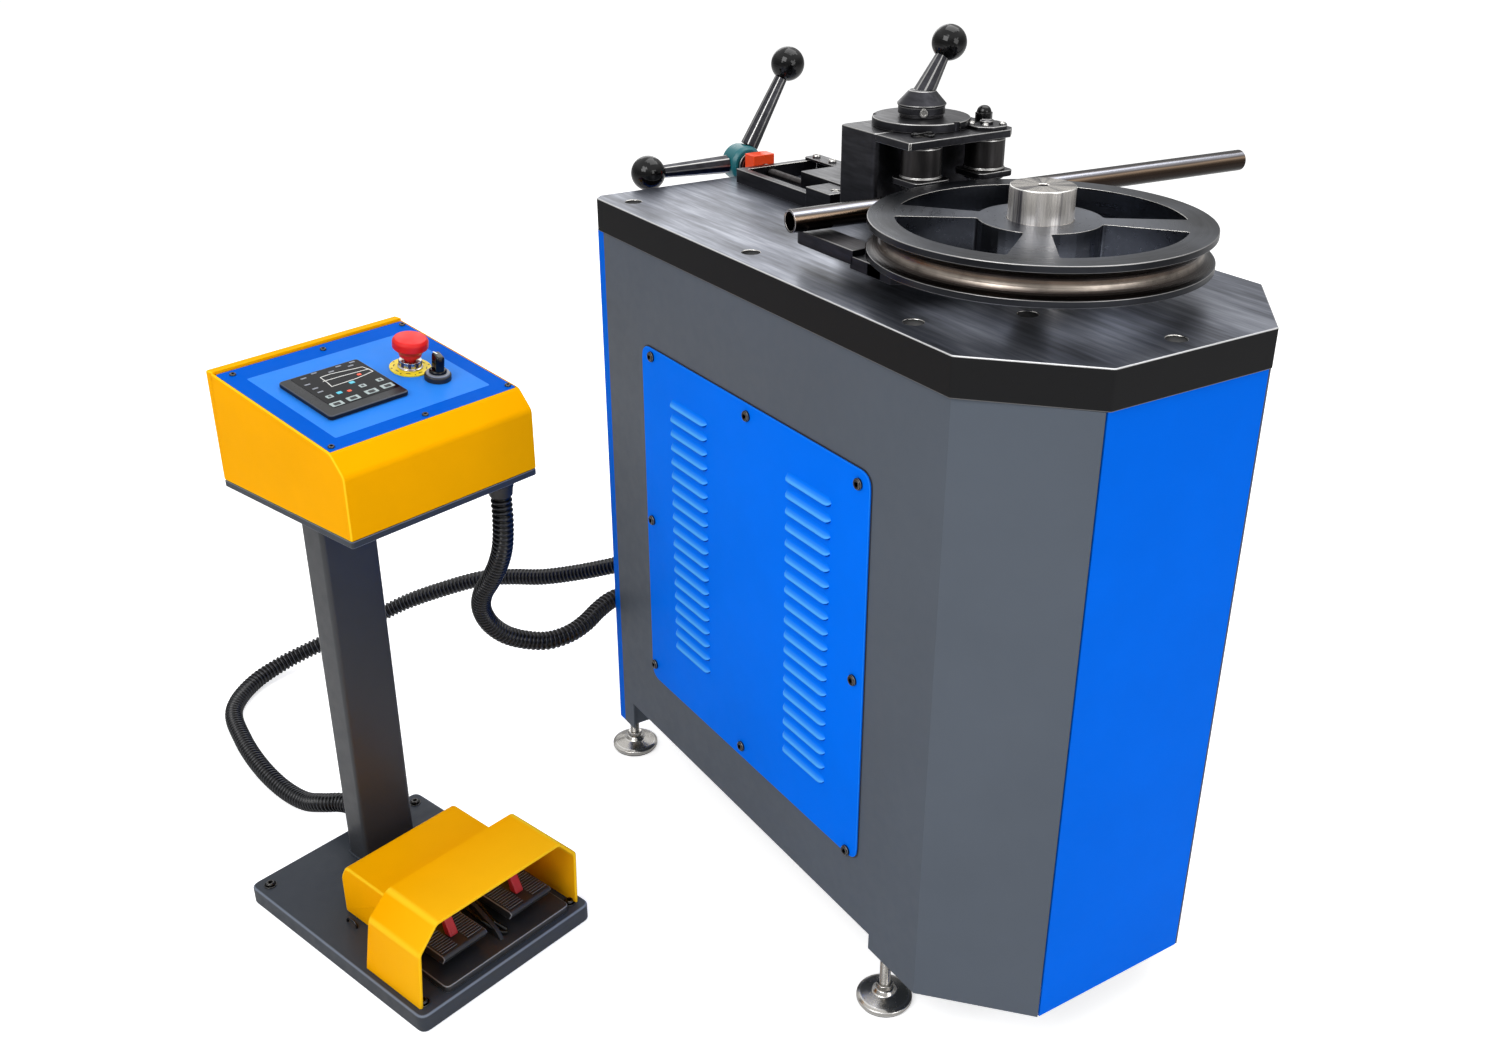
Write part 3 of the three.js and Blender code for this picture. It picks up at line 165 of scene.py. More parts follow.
class Finish:
    """A material with one Principled shader."""

    def __init__(self, name, color, roughness, metallic=0.0, **sockets):
        self.material = bpy.data.materials.new(name)
        self.material.use_nodes = True
        self.tree = self.material.node_tree
        self.shader = self.tree.nodes["Principled BSDF"]
        self.set(base_color=(*color, 1), roughness=roughness, metallic=metallic, **sockets)
        self.material.diffuse_color = (*color, 1)

    def set(self, **sockets):
        """Sets sockets of the shader by name: base_color=..., roughness=..., normal=..."""
        for key, value in sockets.items():
            title = " ".join("IOR" if word == "ior" else word.capitalize() for word in key.split("_"))
            self.feed(self.shader.inputs[title], value)
        return self

    def feed(self, socket, value):
        if isinstance(value, Value):
            self.tree.links.new(value.output, socket)
        else:
            socket.default_value = value

    def node(self, kind, settings=None, sockets=None, output=0):
        """Adds a node of a kind, with its settings, then its sockets' values or links; gives one output."""
        made = self.tree.nodes.new(kind)
        for key, value in (settings or {}).items():
            setattr(made, key, value)
        for key, value in (sockets or {}).items():
            self.feed(made.inputs[key], value)
        return Value(self, made.outputs[output])

    def here(self):
        """The point's own place, in metres in the frame."""
        return self.node("ShaderNodeTexCoord", output="Object")

    def stretched(self, scale):
        """The place multiplied by a factor along each axis."""
        sockets = {"Vector": self.here(), "Scale": scale}
        return self.node("ShaderNodeMapping", {"vector_type": "POINT"}, sockets)

    def noise(self, scale, detail=3.0, roughness=0.5, where=None):
        return self.node("ShaderNodeTexNoise", None, {
            "Vector": where or self.here(), "Scale": scale, "Detail": detail, "Roughness": roughness})

    def ramp(self, value, *stops):
        """Turns a value into a colour by straight steps between the stops, each a position and a colour."""
        made = self.node("ShaderNodeValToRGB", None, {0: value})
        elements = made.output.node.color_ramp.elements
        while len(elements) < len(stops):
            elements.new(0.5)
        for element, (position, color) in zip(elements, stops):
            element.position = position
            element.color = (*color, 1)
        return made

    def band(self, value, low, high, new_low=0.0, new_high=1.0):
        """Takes a value from between low and high to between new_low and new_high, and holds it there."""
        return self.node("ShaderNodeMapRange", {"clamp": True}, {
            "Value": value, "From Min": low, "From Max": high, "To Min": new_low, "To Max": new_high})

    def blend(self, factor, first, second):
        """A colour between two colours."""
        first = first if isinstance(first, Value) else (*first, 1)
        second = second if isinstance(second, Value) else (*second, 1)
        return self.node("ShaderNodeMix", {"data_type": "RGBA"}, {0: factor, 6: first, 7: second}, output=2)

    def split(self, where=None):
        """The three coordinates of a place."""
        parts = self.tree.nodes.new("ShaderNodeSeparateXYZ")
        self.feed(parts.inputs[0], where or self.here())
        return [Value(self, output) for output in parts.outputs]

    def joined(self, x, y, z):
        """A place made of three values."""
        return self.node("ShaderNodeCombineXYZ", None, {0: x, 1: y, 2: z})

    def polar(self, centre):
        """The distance from an upright centre line, the angle round it, and the height."""
        x, y, z = self.split()
        x = x - centre[0]
        y = y - centre[1]
        return (x * x + y * y) ** 0.5, y.math("ARCTAN2", x), z

    def facing_up(self):
        """The upward part of the normal: 1 on a level face, 0 on an upright one."""
        return self.split(self.node("ShaderNodeNewGeometry", output="Normal"))[2]

    def wear_and_painted_light(self):
        """The number each point carries, mostly how far it is into an eased edge: 0 on flat faces, 1 in the
        middle of the edge. Steel shows it as worn bare edges; paints and plastics show it as a painted
        highlight, and louvres as painted light and shade.
        """
        return self.node("ShaderNodeAttribute", {"attribute_name": "wear_and_painted_light"}, output="Fac")

    def bump(self, height, distance, strength):
        """A Bump node that feeds Normal; distance is the height in metres of a change from 0 to 1."""
        sockets = {"Height": height, "Distance": distance, "Strength": strength}
        return self.set(normal=self.node("ShaderNodeBump", None, sockets))


# %% [markdown]
# ## Painted sheet
# The cabinet, the panels and the console are powder coated. Such paint is an even colour with a fine orange
# peel and a few soft stains, and here its edges are lightened as a painted highlight. Noise of two sizes
# makes the peel and the stains; the colour itself hardly moves, because strong noise would read as dirt.


# %% Powder coat
def linear(red, green, blue):
    """A colour given 0 to 255, as the linear light that a shader wants."""
    parts = np.array([red, green, blue]) / 255
    light = np.where(parts <= 0.04045, parts / 12.92, ((parts + 0.055) / 1.055) ** 2.4)
    return tuple(float(v) for v in light)


def powder_coat(name, color, roughness=0.42, peel=0.00012, gloss=0.01, lighter=1.18):
    """Even paint: colour varied by a few hundredths, fine bumps, and a painted highlight that lightens the
    edges `lighter` times.
    """
    finish = Finish(name, color, roughness, specular_ior_level=gloss)
    stains = finish.noise(5.0, 4.0, 0.6)
    shade = tuple(0.93 * c for c in color)
    light = tuple(min(1.0, lighter * c + 0.03) for c in color)
    even = finish.blend(finish.band(stains, 0.35, 0.7), shade, color)
    # Painted highlight: the eased edges blend towards the lighter colour.
    finish.set(base_color=finish.blend(finish.wear_and_painted_light() * 0.6, even, light))
    finish.set(roughness=finish.band(finish.noise(60.0, 2.0), 0.3, 0.7, roughness - 0.05, roughness + 0.07))
    return finish.bump(finish.noise(650.0, 2.0), peel, 0.5)


# Each paint's `lighter` is the strength of the painted highlight on its edges.
grey_paint = powder_coat("grey_powder_coat", linear(87, 94, 104), 0.48, gloss=0.1)
blue_paint = powder_coat("blue_powder_coat", linear(0, 104, 232), 0.4, lighter=1.5)
# Painted light: the vent sheet gets a brighter copy of the covers' blue, standing in for light on that side
# of the cabinet.
vent_paint_brightened = powder_coat("vent_blue_coat_painted_brighter", linear(0, 116, 255), 0.4, lighter=1.5)
panel_paint = powder_coat("panel_blue_coat", linear(0, 90, 204), 0.4, lighter=2.0)
pale_blue_paint = powder_coat("pale_blue_film", linear(44, 132, 236), 0.4, gloss=0.06)
louvre_paint = powder_coat("louvre_blue_coat", linear(0, 116, 255), 0.4)
# Painted light and shade: each louvre's number darkens the blue under its crest and lightens it on the crest.
lit = louvre_paint.ramp(louvre_paint.wear_and_painted_light(), (0.0, linear(0, 44, 140)), (0.35, linear(0, 90, 215)),
                        (0.6, linear(8, 124, 255)), (1.0, linear(88, 178, 255)))
louvre_paint.set(base_color=lit)
yellow_paint = powder_coat("yellow_powder_coat", linear(255, 176, 0), 0.42, lighter=1.6)
slate_paint = powder_coat("slate_powder_coat", linear(54, 59, 67), 0.4, peel=0.0002, gloss=0.2, lighter=7.0)
column_paint = powder_coat("column_grey_coat", linear(52, 54, 58), 0.36, gloss=0.4, lighter=2.6)
print("paints made:", sum(m.name.endswith(("coat", "film")) for m in bpy.data.materials))

# %% [markdown]
# ## Dark machined steel
# The table, the wheel and the carriage are blackened steel. What makes them read as steel is the direction of
# the tool marks: long streaks on the milled blocks, rings on the turned wheel. So the noise is stretched
# along the cut, either in straight axes or round a centre. The eased edges have lost their blackening and
# shine.

# %% Plain steels and the casting
BARE_EDGE = (0.75, 0.74, 0.72)
spindle_centre = machine @ Vector((223, 0, 0))


def milled(finish, scale, stretch, detail=4.0):
    """Noise drawn out along x."""
    return finish.noise(scale, detail, 0.6, finish.stretched((1 / stretch, 1, 1)))


def metal(name, color, roughness, streaks, contrast, edge_share=0.8, depth=0.00004):
    """Steel whose colour and roughness follow the streaks, with bare bright edges."""
    finish = Finish(name, color, roughness, 1.0)
    marks = streaks(finish)
    spread = finish.band(marks, 0.3, 0.7)
    dark = tuple(c * (1 - contrast) for c in color)
    pale = tuple(min(1.0, c * (1 + contrast)) for c in color)
    body = finish.blend(spread, dark, pale)
    finish.set(base_color=finish.blend(finish.wear_and_painted_light() * edge_share, body, BARE_EDGE))
    finish.set(roughness=finish.band(marks, 0.3, 0.7, roughness + 0.06, roughness - 0.06))
    return finish.bump(marks, depth, 0.6)


def fine_grain(finish):
    return finish.noise(300.0)


black_steel = metal("blackened_steel", linear(58, 58, 62), 0.36, lambda f: milled(f, 120.0, 6), 0.3, 0.55)
plain_steel = metal("plain_steel", linear(190, 188, 184), 0.3, fine_grain, 0.12)
bright_edge = metal("filed_bright_edge", linear(205, 203, 198), 0.25, fine_grain, 0.1)
matt_steel = metal("black_oxide_screw", linear(20, 20, 21), 0.33, fine_grain, 0.2, 0.25)
stainless = metal("polished_stainless", linear(188, 185, 180), 0.22, lambda f: f.noise(220.0), 0.05,
                  depth=0.00001)
dark_barrel = metal("dark_ground_steel", linear(66, 64, 64), 0.36,
                    lambda f: f.noise(160.0, 3.0, 0.6, f.stretched((1, 1, 0.1))), 0.25)
casting = Finish("painted_casting", linear(70, 74, 78), 0.6)
casting.bump(casting.noise(220.0, 4.0), 0.0006, 0.6)

# %% [markdown]
# ## Wheel, spindle and tube steel
# These three are what the eye goes to, so each has its own network. A turned face has rings about its centre
# and clouds that don't follow them; on the spindle, sectors and upright streaks are a painted reflection laid
# out by angle; a drawn tube mirrors the room as stripes along its length. A polished round surface mirrors
# things that this scene doesn't have, so the tube's and the groove's stripes are painted reflections and
# shade laid out by height. The radii and heights in these three are in metres, from the spindle's axis and
# from the floor.


# %% Wheel, spindle and tube steel
def wheel_finish():
    """Dark turned steel with soft clouds. In the groove a painted reflection goes by height: painted shade
    just under the top flange, a warm painted highlight on the polished lower half, painted shade again down
    at the bottom flange."""
    finish = Finish("burnished_turned_steel", linear(70, 74, 82), 0.3, 1.0)
    radius, angle, z = finish.polar(spindle_centre)
    clouds = finish.noise(9.0)
    rings = finish.noise(150.0, 3.0, 0.6, finish.joined(radius, angle * (2.0 / 150.0), z))
    # The hub and spokes are painted lighter than the rim.
    hub = finish.band(radius, 0.12, 0.185, 0.6, 0.0)
    shade = finish.band(clouds, 0.38, 0.66) * 0.32 + finish.band(rings, 0.3, 0.7) * 0.12 + hub
    flat = finish.blend(shade.clamped(), linear(34, 37, 42), linear(122, 126, 136))
    height = finish.band(z, 1.0465, 1.0775)
    groove_reflection = finish.ramp(height, (0.0, linear(22, 20, 20)), (0.2, linear(64, 56, 52)),
                        (0.38, linear(196, 184, 172)), (0.5, linear(120, 104, 92)),
                        (0.68, linear(48, 42, 40)), (1.0, linear(20, 20, 22)))
    around = finish.joined(angle * 1.6, z * 12.0, 0.0)
    patches = finish.band(finish.noise(2.4, 4.0, 0.6, around), 0.34, 0.62, 0.35, 1.0)
    grooved = finish.blend(patches, linear(46, 42, 40), groove_reflection)
    between_lips = finish.band(height, 0.0, 0.02) * finish.band(height, 1.0, 0.98)
    body = finish.blend(finish.band(radius, 0.188, 0.189) * between_lips, flat, grooved)
    # Painted shade: the outer faces of the wheel are darkened.
    outer_face_shade = finish.band(radius, 0.2084, 0.2088) * 0.65
    body = finish.blend(outer_face_shade, body, linear(30, 29, 30))
    finish.set(base_color=finish.blend(finish.wear_and_painted_light() * 0.7, body, (0.55, 0.54, 0.53)))
    finish.set(roughness=finish.band(rings, 0.3, 0.7, 0.34, 0.26))
    return finish.bump(rings, 0.00001, 0.4)


def spindle_finish():
    """Bright steel off the lathe. A painted reflection goes by the angle, which gives upright streaks on the
    side and sectors on the end face; the centre hole is painted dark as shade."""
    finish = Finish("bright_turned_steel", linear(190, 188, 186), 0.24, 1.0)
    radius, angle, z = finish.polar(spindle_centre)
    around = finish.joined(angle, z * 0.5, radius * 2.0)
    broad = finish.noise(1.7, 2.0, 0.5, around)
    fine = finish.noise(16.0, 3.0, 0.6, around)
    reflection_tone = broad * 0.7 + fine * 0.3
    body = finish.ramp(reflection_tone, (0.38, linear(84, 82, 88)), (0.48, linear(200, 196, 192)),
                       (0.56, linear(250, 244, 236)))
    # Painted shade in the centre hole.
    centre_hole_shade = finish.band(radius, 0.0058, 0.0064)
    body = finish.blend(centre_hole_shade, linear(30, 30, 32), body)
    rims = finish.wear_and_painted_light() * finish.band(radius, 0.009, 0.014) * 0.8
    finish.set(base_color=finish.blend(rims, body, (0.9, 0.89, 0.87)))
    finish.set(metallic=finish.band(finish.facing_up(), 0.3, 0.7, 0.68, 1.0))
    finish.set(roughness=finish.band(fine, 0.3, 0.7, 0.3, 0.2))
    return finish.bump(fine, 0.00002, 0.4)


def tube_finish():
    """Drawn steel under oil, with a painted reflection round it that goes by height: painted shade below, a
    warm stripe, a cooler and brighter one above it, then painted shade again, each of them uneven along the
    tube."""
    finish = Finish("drawn_tube_steel", linear(56, 49, 45), 0.24, 1.0)
    x, y, z = finish.split()
    drift = finish.noise(9.0, 3.0, 0.6, finish.joined(x, y, z * 40.0))
    height = finish.band(z, 1.047, 1.077) + (drift - 0.5) * 0.1
    body = finish.ramp(height, (0.2, linear(30, 25, 22)), (0.5, linear(52, 43, 38)),
                       (0.62, linear(92, 76, 64)), (0.72, linear(170, 146, 124)),
                       (0.79, linear(98, 90, 86)), (0.89, linear(172, 174, 184)),
                       (0.95, linear(84, 80, 80)), (1.0, linear(34, 32, 32)))
    finish.set(base_color=finish.blend(finish.wear_and_painted_light() * 0.7, body, (0.6, 0.58, 0.56)))
    finish.set(roughness=finish.band(drift, 0.3, 0.7, 0.3, 0.2))
    return finish.bump(drift, 0.00002, 0.4)


wheel_steel = wheel_finish()
tube_steel = tube_finish()
spindle_steel = spindle_finish()


# %% [markdown]
# ## Table face
# The face of the table is milled and oiled: near-black with long grey streaks, while its sides are painted
# almost black. The normal tells the two apart, and two noises of different lengths make the streaks uneven.


# %% Table finish
def table_finish():
    """Streaks of two lengths on the level face; paint, and less of the bright rim, on the sides."""
    finish = Finish("milled_table_steel", linear(48, 50, 54), 0.34, 0.85)
    facing = finish.facing_up()
    top = finish.band(facing, 0.6, 0.9)
    broad = milled(finish, 14.0, 5.0, 5.0)
    fine = milled(finish, 90.0, 14.0)
    marks = broad * 0.6 + fine * 0.4
    streaked = finish.ramp(marks, (0.34, linear(46, 48, 54)), (0.5, linear(110, 114, 125)),
                           (0.66, linear(166, 170, 182)))
    face = finish.blend(top, linear(28, 28, 29), streaked)
    rim = finish.wear_and_painted_light() * finish.band(facing, -0.1, 0.3, 0.25, 1.0)
    finish.set(base_color=finish.blend(rim * 0.9, face, (0.8, 0.8, 0.8)))
    finish.set(metallic=finish.band(facing, 0.2, 0.6, 0.0, 0.9), specular_ior_level=0.08)
    face_gloss = finish.band(marks, 0.3, 0.7, 0.42, 0.27) * top
    finish.set(roughness=face_gloss + finish.band(top, 0.0, 1.0, 0.6, 0.0))
    return finish.bump(fine, 0.00006, 0.5)


table_steel = table_finish()

# %% [markdown]
# ## Plastics
# The balls and hoses are glossy black, the treadles and glands duller. A little noise in the roughness keeps
# a highlight from looking like clean glass.


# %% Moulded plastics
def moulded(name, color, roughness, grain=0.0, edge=None, specular=0.5):
    """Plastic with a slightly uneven gloss, an optional leather-like grain and optional edges painted paler
    as a highlight.
    """
    finish = Finish(name, color, roughness, specular_ior_level=specular)
    if edge:
        # Painted highlight on the edges and crests.
        finish.set(base_color=finish.blend(finish.wear_and_painted_light() * 0.6, color, edge))
    finish.set(roughness=finish.band(finish.noise(40.0), 0.3, 0.7, roughness * 0.8, roughness * 1.25))
    if grain:
        finish.bump(finish.noise(900.0, 2.0), grain, 0.6)
    return finish


ball_plastic = moulded("glossy_black_ball", linear(9, 9, 10), 0.1, specular=0.32)
# The paler colours given to the hose, the treadles and the bezel are painted highlights on rib crests and
# edges.
hose_plastic = moulded("corrugated_black_hose", linear(8, 8, 9), 0.22, 0.0, linear(62, 65, 72), 0.3)
matt_plastic = moulded("matt_black_plastic", linear(26, 27, 30), 0.5, 0.0002)
tread_plastic = moulded("ribbed_tread_plastic", linear(40, 41, 44), 0.42, 0.0001, linear(170, 172, 178))
dark_plastic = moulded("dark_bezel_plastic", linear(24, 26, 30), 0.3, 0.0, linear(110, 114, 122), 0.2)
glass_plastic = moulded("screen_glass", linear(14, 15, 19), 0.12, specular=0.05)
key_plastic = moulded("screen_key", linear(158, 172, 172), 0.3)
cyan_plastic = moulded("screen_cyan", linear(70, 190, 214), 0.3)
navy_plastic = moulded("dark_blue_stripe", linear(24, 34, 86), 0.3)
red_plastic = moulded("red_button_plastic", linear(226, 30, 28), 0.42, specular=0.3)
flap_plastic = moulded("red_flap_plastic", linear(184, 36, 46), 0.32)
yellow_plastic = moulded("yellow_ring_plastic", linear(246, 218, 22), 0.4)
orange_plastic = moulded("orange_block_plastic", linear(250, 78, 30), 0.32)
teal_plastic = moulded("teal_ring_plastic", linear(20, 104, 112), 0.3)
grey_plastic = moulded("grey_ring_plastic", linear(128, 132, 142), 0.35)
white_mark = moulded("white_paint_mark", linear(236, 236, 232), 0.45)
print("materials so far:", len(bpy.data.materials))

# %% [markdown]
# ## Surfaces from numpy
# A `Form` is points, faces and a number on each point that says how far it is into an eased edge. The
# finishes turn that number into bare, worn edges on steel and into a painted highlight on paint and plastic;
# on louvres, hose crests and fold lines it carries painted light and shade. Every shape is a grid of points:
# rings of a turned piece, inset outlines of a plate, or a section carried along a path. Corners are eased
# with short curves, because a real edge always catches a line of light.


# %% Forms
class Form:
    """Points in millimetres, faces as lists of point numbers, and each point's number for worn edges and
    painted light.
    """

    def __init__(self, points, faces, wear_and_painted_light=None):
        self.points = np.asarray(points, float).reshape(-1, 3)
        self.faces = faces
        self.wear_and_painted_light = np.zeros(len(self.points)) if wear_and_painted_light is None else np.asarray(wear_and_painted_light, float).ravel()

    def __add__(self, other):
        shift = len(self.points)
        faces = self.faces + [[i + shift for i in face] for face in other.faces]
        return Form(np.vstack([self.points, other.points]), faces, np.r_[self.wear_and_painted_light, other.wear_and_painted_light])

    def placed(self, matrix):
        """The form carried by a matrix in millimetres."""
        turn = np.array(matrix)
        return Form(self.points @ turn[:3, :3].T + turn[:3, 3], self.faces, self.wear_and_painted_light)

    def at(self, x=0.0, y=0.0, z=0.0):
        return Form(self.points + (x, y, z), self.faces, self.wear_and_painted_light)


def grid_faces(rows, columns, close_columns=True):
    """Four-sided faces between neighbouring rows and columns of a grid; columns may run round."""
    across = columns if close_columns else columns - 1
    row, column = np.meshgrid(np.arange(rows - 1), np.arange(across), indexing="ij")
    after = (column + 1) % columns
    near_row = [row * columns + column, row * columns + after]
    far_row = [(row + 1) * columns + after, (row + 1) * columns + column]
    return np.stack(near_row + far_row, -1).reshape(-1, 4).tolist()


def capped_faces(rows, columns):
    """The faces of a grid whose columns run round, with its first and last rows closed by one face each."""
    first_cap = list(range(columns))[::-1]
    last_cap = list(range((rows - 1) * columns, rows * columns))
    return grid_faces(rows, columns) + [first_cap, last_cap]


def together(forms):
    """Several forms as one."""
    return sum(forms[1:], forms[0])


def eased(points, radius, steps=3, closed=False):
    """Each corner of a path becomes a short curve (1-t)^2 before + 2t(1-t) corner + t^2 after, where before
    and after lie `radius` away from it along its two sides. The number for worn edges and painted highlights
    is 4t(1-t)."""
    points = np.asarray(points, float)
    before, after = np.roll(points, 1, 0) - points, np.roll(points, -1, 0) - points
    back, ahead = (np.linalg.norm(side, axis=1, keepdims=True) for side in (before, after))
    cut = np.minimum(np.broadcast_to(np.reshape(radius, (-1, 1)), back.shape), 0.45 * np.minimum(back, ahead))
    start, end = points + before / back * cut, points + after / ahead * cut
    t = np.linspace(0, 1, steps + 2)[None, :, None]
    curve = (1 - t) ** 2 * start[:, None] + 2 * t * (1 - t) * points[:, None] + t**2 * end[:, None]
    wear_and_painted_light = np.broadcast_to(4 * t[..., 0] * (1 - t[..., 0]), curve.shape[:2])
    if closed:
        return curve.reshape(-1, points.shape[1]), wear_and_painted_light.ravel()
    inner = curve[1:-1].reshape(-1, points.shape[1])
    return np.vstack([points[:1], inner, points[-1:]]), np.r_[0, wear_and_painted_light[1:-1].ravel(), 0]


def rounded(points, cuts, steps=4):
    """A closed outline with its corners eased, all alike or each with its own cut."""
    return eased(points, cuts, steps, closed=True)[0]
def turned(profile, sides=64, ease=0.8, closed=False):
    """A profile of (radius, height) spun about Z: x = r cos a, y = r sin a, z = height."""
    path, wear_and_painted_light = eased(profile, ease, 3, closed)
    if closed:
        path, wear_and_painted_light = np.vstack([path, path[:1]]), np.r_[wear_and_painted_light, wear_and_painted_light[:1]]
    angle = np.arange(sides) * 2 * np.pi / sides
    points = np.stack([np.outer(path[:, 0], np.cos(angle)), np.outer(path[:, 0], np.sin(angle)),
                       np.repeat(path[:, 1:], sides, 1)], -1)
    return Form(points, grid_faces(len(path), sides), np.repeat(wear_and_painted_light, sides))


def inset(outline, distance):
    """A closed outline moved inwards: each point goes along the sum of its two sides' normals, n1 + n2, times
    distance / (1 + n1.n2). The outline runs anticlockwise."""
    ahead = np.roll(outline, -1, 0) - outline
    ahead /= np.linalg.norm(ahead, axis=1, keepdims=True)
    normal = np.stack([-ahead[:, 1], ahead[:, 0]], 1)
    last = np.roll(normal, 1, 0)
    return outline + distance * (normal + last) / (1 + np.sum(normal * last, 1, keepdims=True))


def plate(outline, z0, z1, ease=1.0, steps=3, corner=0.0):
    """An outline pushed up from z0 to z1 whose two rims are quarter rounds: at angle t the outline is inset
    by ease (1 - sin t) and lies ease (1 - cos t) from the face."""
    outline = np.asarray(outline, float)
    ahead = np.roll(outline, -1, 0)
    if np.sum(outline[:, 0] * ahead[:, 1] - ahead[:, 0] * outline[:, 1]) < 0:
        outline = outline[::-1]
    if corner:
        outline = rounded(outline, corner)
    t = np.linspace(0, np.pi / 2, steps + 1) if ease else np.array([np.pi / 2])
    insets = ease * (1 - np.sin(t))
    heights = ease * (1 - np.cos(t))
    levels = np.r_[z0 + heights, z1 - heights[::-1]]
    insets = np.r_[insets, insets[::-1]]
    rims = np.sin(2 * t)
    count = len(outline)
    rings = np.stack([np.c_[inset(outline, d), np.full(count, z)] for d, z in zip(insets, levels)])
    return Form(rings, capped_faces(len(levels), count), np.repeat(np.r_[rims, rims[::-1]], count))


def rectangle(x0, x1, y0, y1):
    return np.array([[x0, y0], [x1, y0], [x1, y1], [x0, y1]], float)


def slab(x0, x1, y0, y1, z0, z1, ease=1.0, corner=0.0):
    """A block with eased rims and rounded upright corners, 1.6 times the ease unless given."""
    return plate(rectangle(x0, x1, y0, y1), z0, z1, ease, 3, corner or 1.6 * ease)


def swept(path, section, up, wear_and_painted_light=None, caps=True):
    """A section carried along a path: side = up x tangent, and other = tangent x side. Each ring is
    centre + x side + y other. `section` is (n, 2), or (rows, n, 2) where it changes along the path."""
    path = np.asarray(path, float)
    section = np.asarray(section, float)
    tangent = np.gradient(path, axis=0)
    tangent /= np.linalg.norm(tangent, axis=1, keepdims=True)
    side = np.cross(np.asarray(up, float), tangent)
    side /= np.linalg.norm(side, axis=1, keepdims=True)
    other = np.cross(tangent, side)
    if section.ndim == 2:
        section = np.broadcast_to(section, (len(path), *section.shape))
    rings = path[:, None] + section[..., :1] * side[:, None] + section[..., 1:] * other[:, None]
    faces = (capped_faces if caps else grid_faces)(len(path), section.shape[1])
    return Form(rings, faces, wear_and_painted_light)


def circle(radius, sides=24):
    angle = np.arange(sides) * 2 * np.pi / sides
    return radius * np.stack([np.cos(angle), np.sin(angle)], 1)


def rod(radius, low, high, sides=32, ease=0.01):
    """A plain round bar, closed at both ends."""
    return turned([(0, low), (radius, low), (radius, high), (0, high)], sides, ease)


# %% [markdown]
# ## From a form to a piece
# `piece` takes a form to its place, closes its seams, turns its faces outwards and rides it on its body. The
# CAD node that it stands for is hidden, and its material slot is kept for whoever repaints the part.

# %% Pieces
body_of = {node: body for body, nodes in frame["record"]["behaviour"]["bodies"].items() for node in nodes}
# Points closer than SEAM are one point, and an edge shorter than TOO_SHORT is none, both in metres.
SEAM, TOO_SHORT = 2e-6, 1e-7
SHARP_ANGLE = 35


def shade(mesh, degrees):
    """Smooth faces that keep a crisp line where two of them meet at more than an angle."""
    mesh.polygons.foreach_set("use_smooth", np.ones(len(mesh.polygons), bool))
    mesh.set_sharp_from_angle(angle=math.radians(degrees))


def solid_of(name, form, place, sharp):
    """An object from a form: seams closed, faces outwards, edges steeper than `sharp` degrees kept crisp."""
    matrix = np.array(place)
    mesh = bpy.data.meshes.new(name)
    mesh.from_pydata(form.points @ matrix[:3, :3].T + matrix[:3, 3], [], form.faces)
    mesh.attributes.new("wear_and_painted_light", "FLOAT", "POINT").data.foreach_set("value", form.wear_and_painted_light)
    work = bmesh.new()
    work.from_mesh(mesh)
    bmesh.ops.remove_doubles(work, verts=work.verts, dist=SEAM)
    bmesh.ops.dissolve_degenerate(work, edges=work.edges, dist=TOO_SHORT)
    bmesh.ops.recalc_face_normals(work, faces=work.faces)
    work.to_mesh(mesh)
    work.free()
    shade(mesh, sharp)
    made = bpy.data.objects.new(name, mesh)
    bpy.context.scene.collection.objects.link(made)
    return made


def even_faces(target):
    """Shades each point by its largest faces, so that a flat face between eased rims looks flat."""
    for old in [m for m in target.modifiers if m.type == "WEIGHTED_NORMAL"]:
        target.modifiers.remove(old)
    even = target.modifiers.new("even_faces", "WEIGHTED_NORMAL")
    even.keep_sharp = True


def piece(name, form, place, finish, node, hides=True, sharp=60):
    """Makes an object from a form. `node` is the CAD node that it replaces or belongs to."""
    made = solid_of(name, form, place, sharp)
    made.data.materials.append(finish.material)
    if sharp < 180:
        even_faces(made)
    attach(made, body_of[node])
    if hides:
        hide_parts(node)
    return made


def dress(node, finish):
    """A CAD node keeps its shape and gets a finish."""
    mesh = frame["nodes"][node].data
    mesh.materials.clear()
    mesh.materials.append(finish.material)


def cut_away(target, form, place, bevel=0.0, bright=None):
    """Takes a form out of a finished piece, for good, then eases the new edges if asked."""
    tool = solid_of("tool", form, place, 60)
    target.modifiers.clear()
    change = target.modifiers.new("cut", "BOOLEAN")
    change.operation = "DIFFERENCE"
    change.solver = "EXACT"
    change.object = tool
    shown = target.evaluated_get(bpy.context.evaluated_depsgraph_get())
    mesh = bpy.data.meshes.new_from_object(shown)
    target.modifiers.clear()
    old = target.data
    finish = old.materials[0]
    target.data = mesh
    bpy.data.meshes.remove(old)
    tool_mesh = tool.data
    bpy.data.objects.remove(tool)
    bpy.data.meshes.remove(tool_mesh)
    mesh.materials.clear()
    mesh.materials.append(finish)
    mesh.polygons.foreach_set("material_index", np.zeros(len(mesh.polygons), np.int32))
    shade(mesh, SHARP_ANGLE)
    even_faces(target)
    if bevel:
        ease_edges(target, bevel, bright)


def ease_edges(target, width, bright=None):
    """A live Bevel on the sharp edges; its faces can have a finish of their own, as bare edges do."""
    ease = target.modifiers.new("ease", "BEVEL")
    ease.width = width * MM
    ease.segments = 2
    ease.limit_method = "ANGLE"
    ease.angle_limit = math.radians(SHARP_ANGLE)
    if bright:
        target.data.materials.append(bright.material)
        ease.material = 1
    even_faces(target)


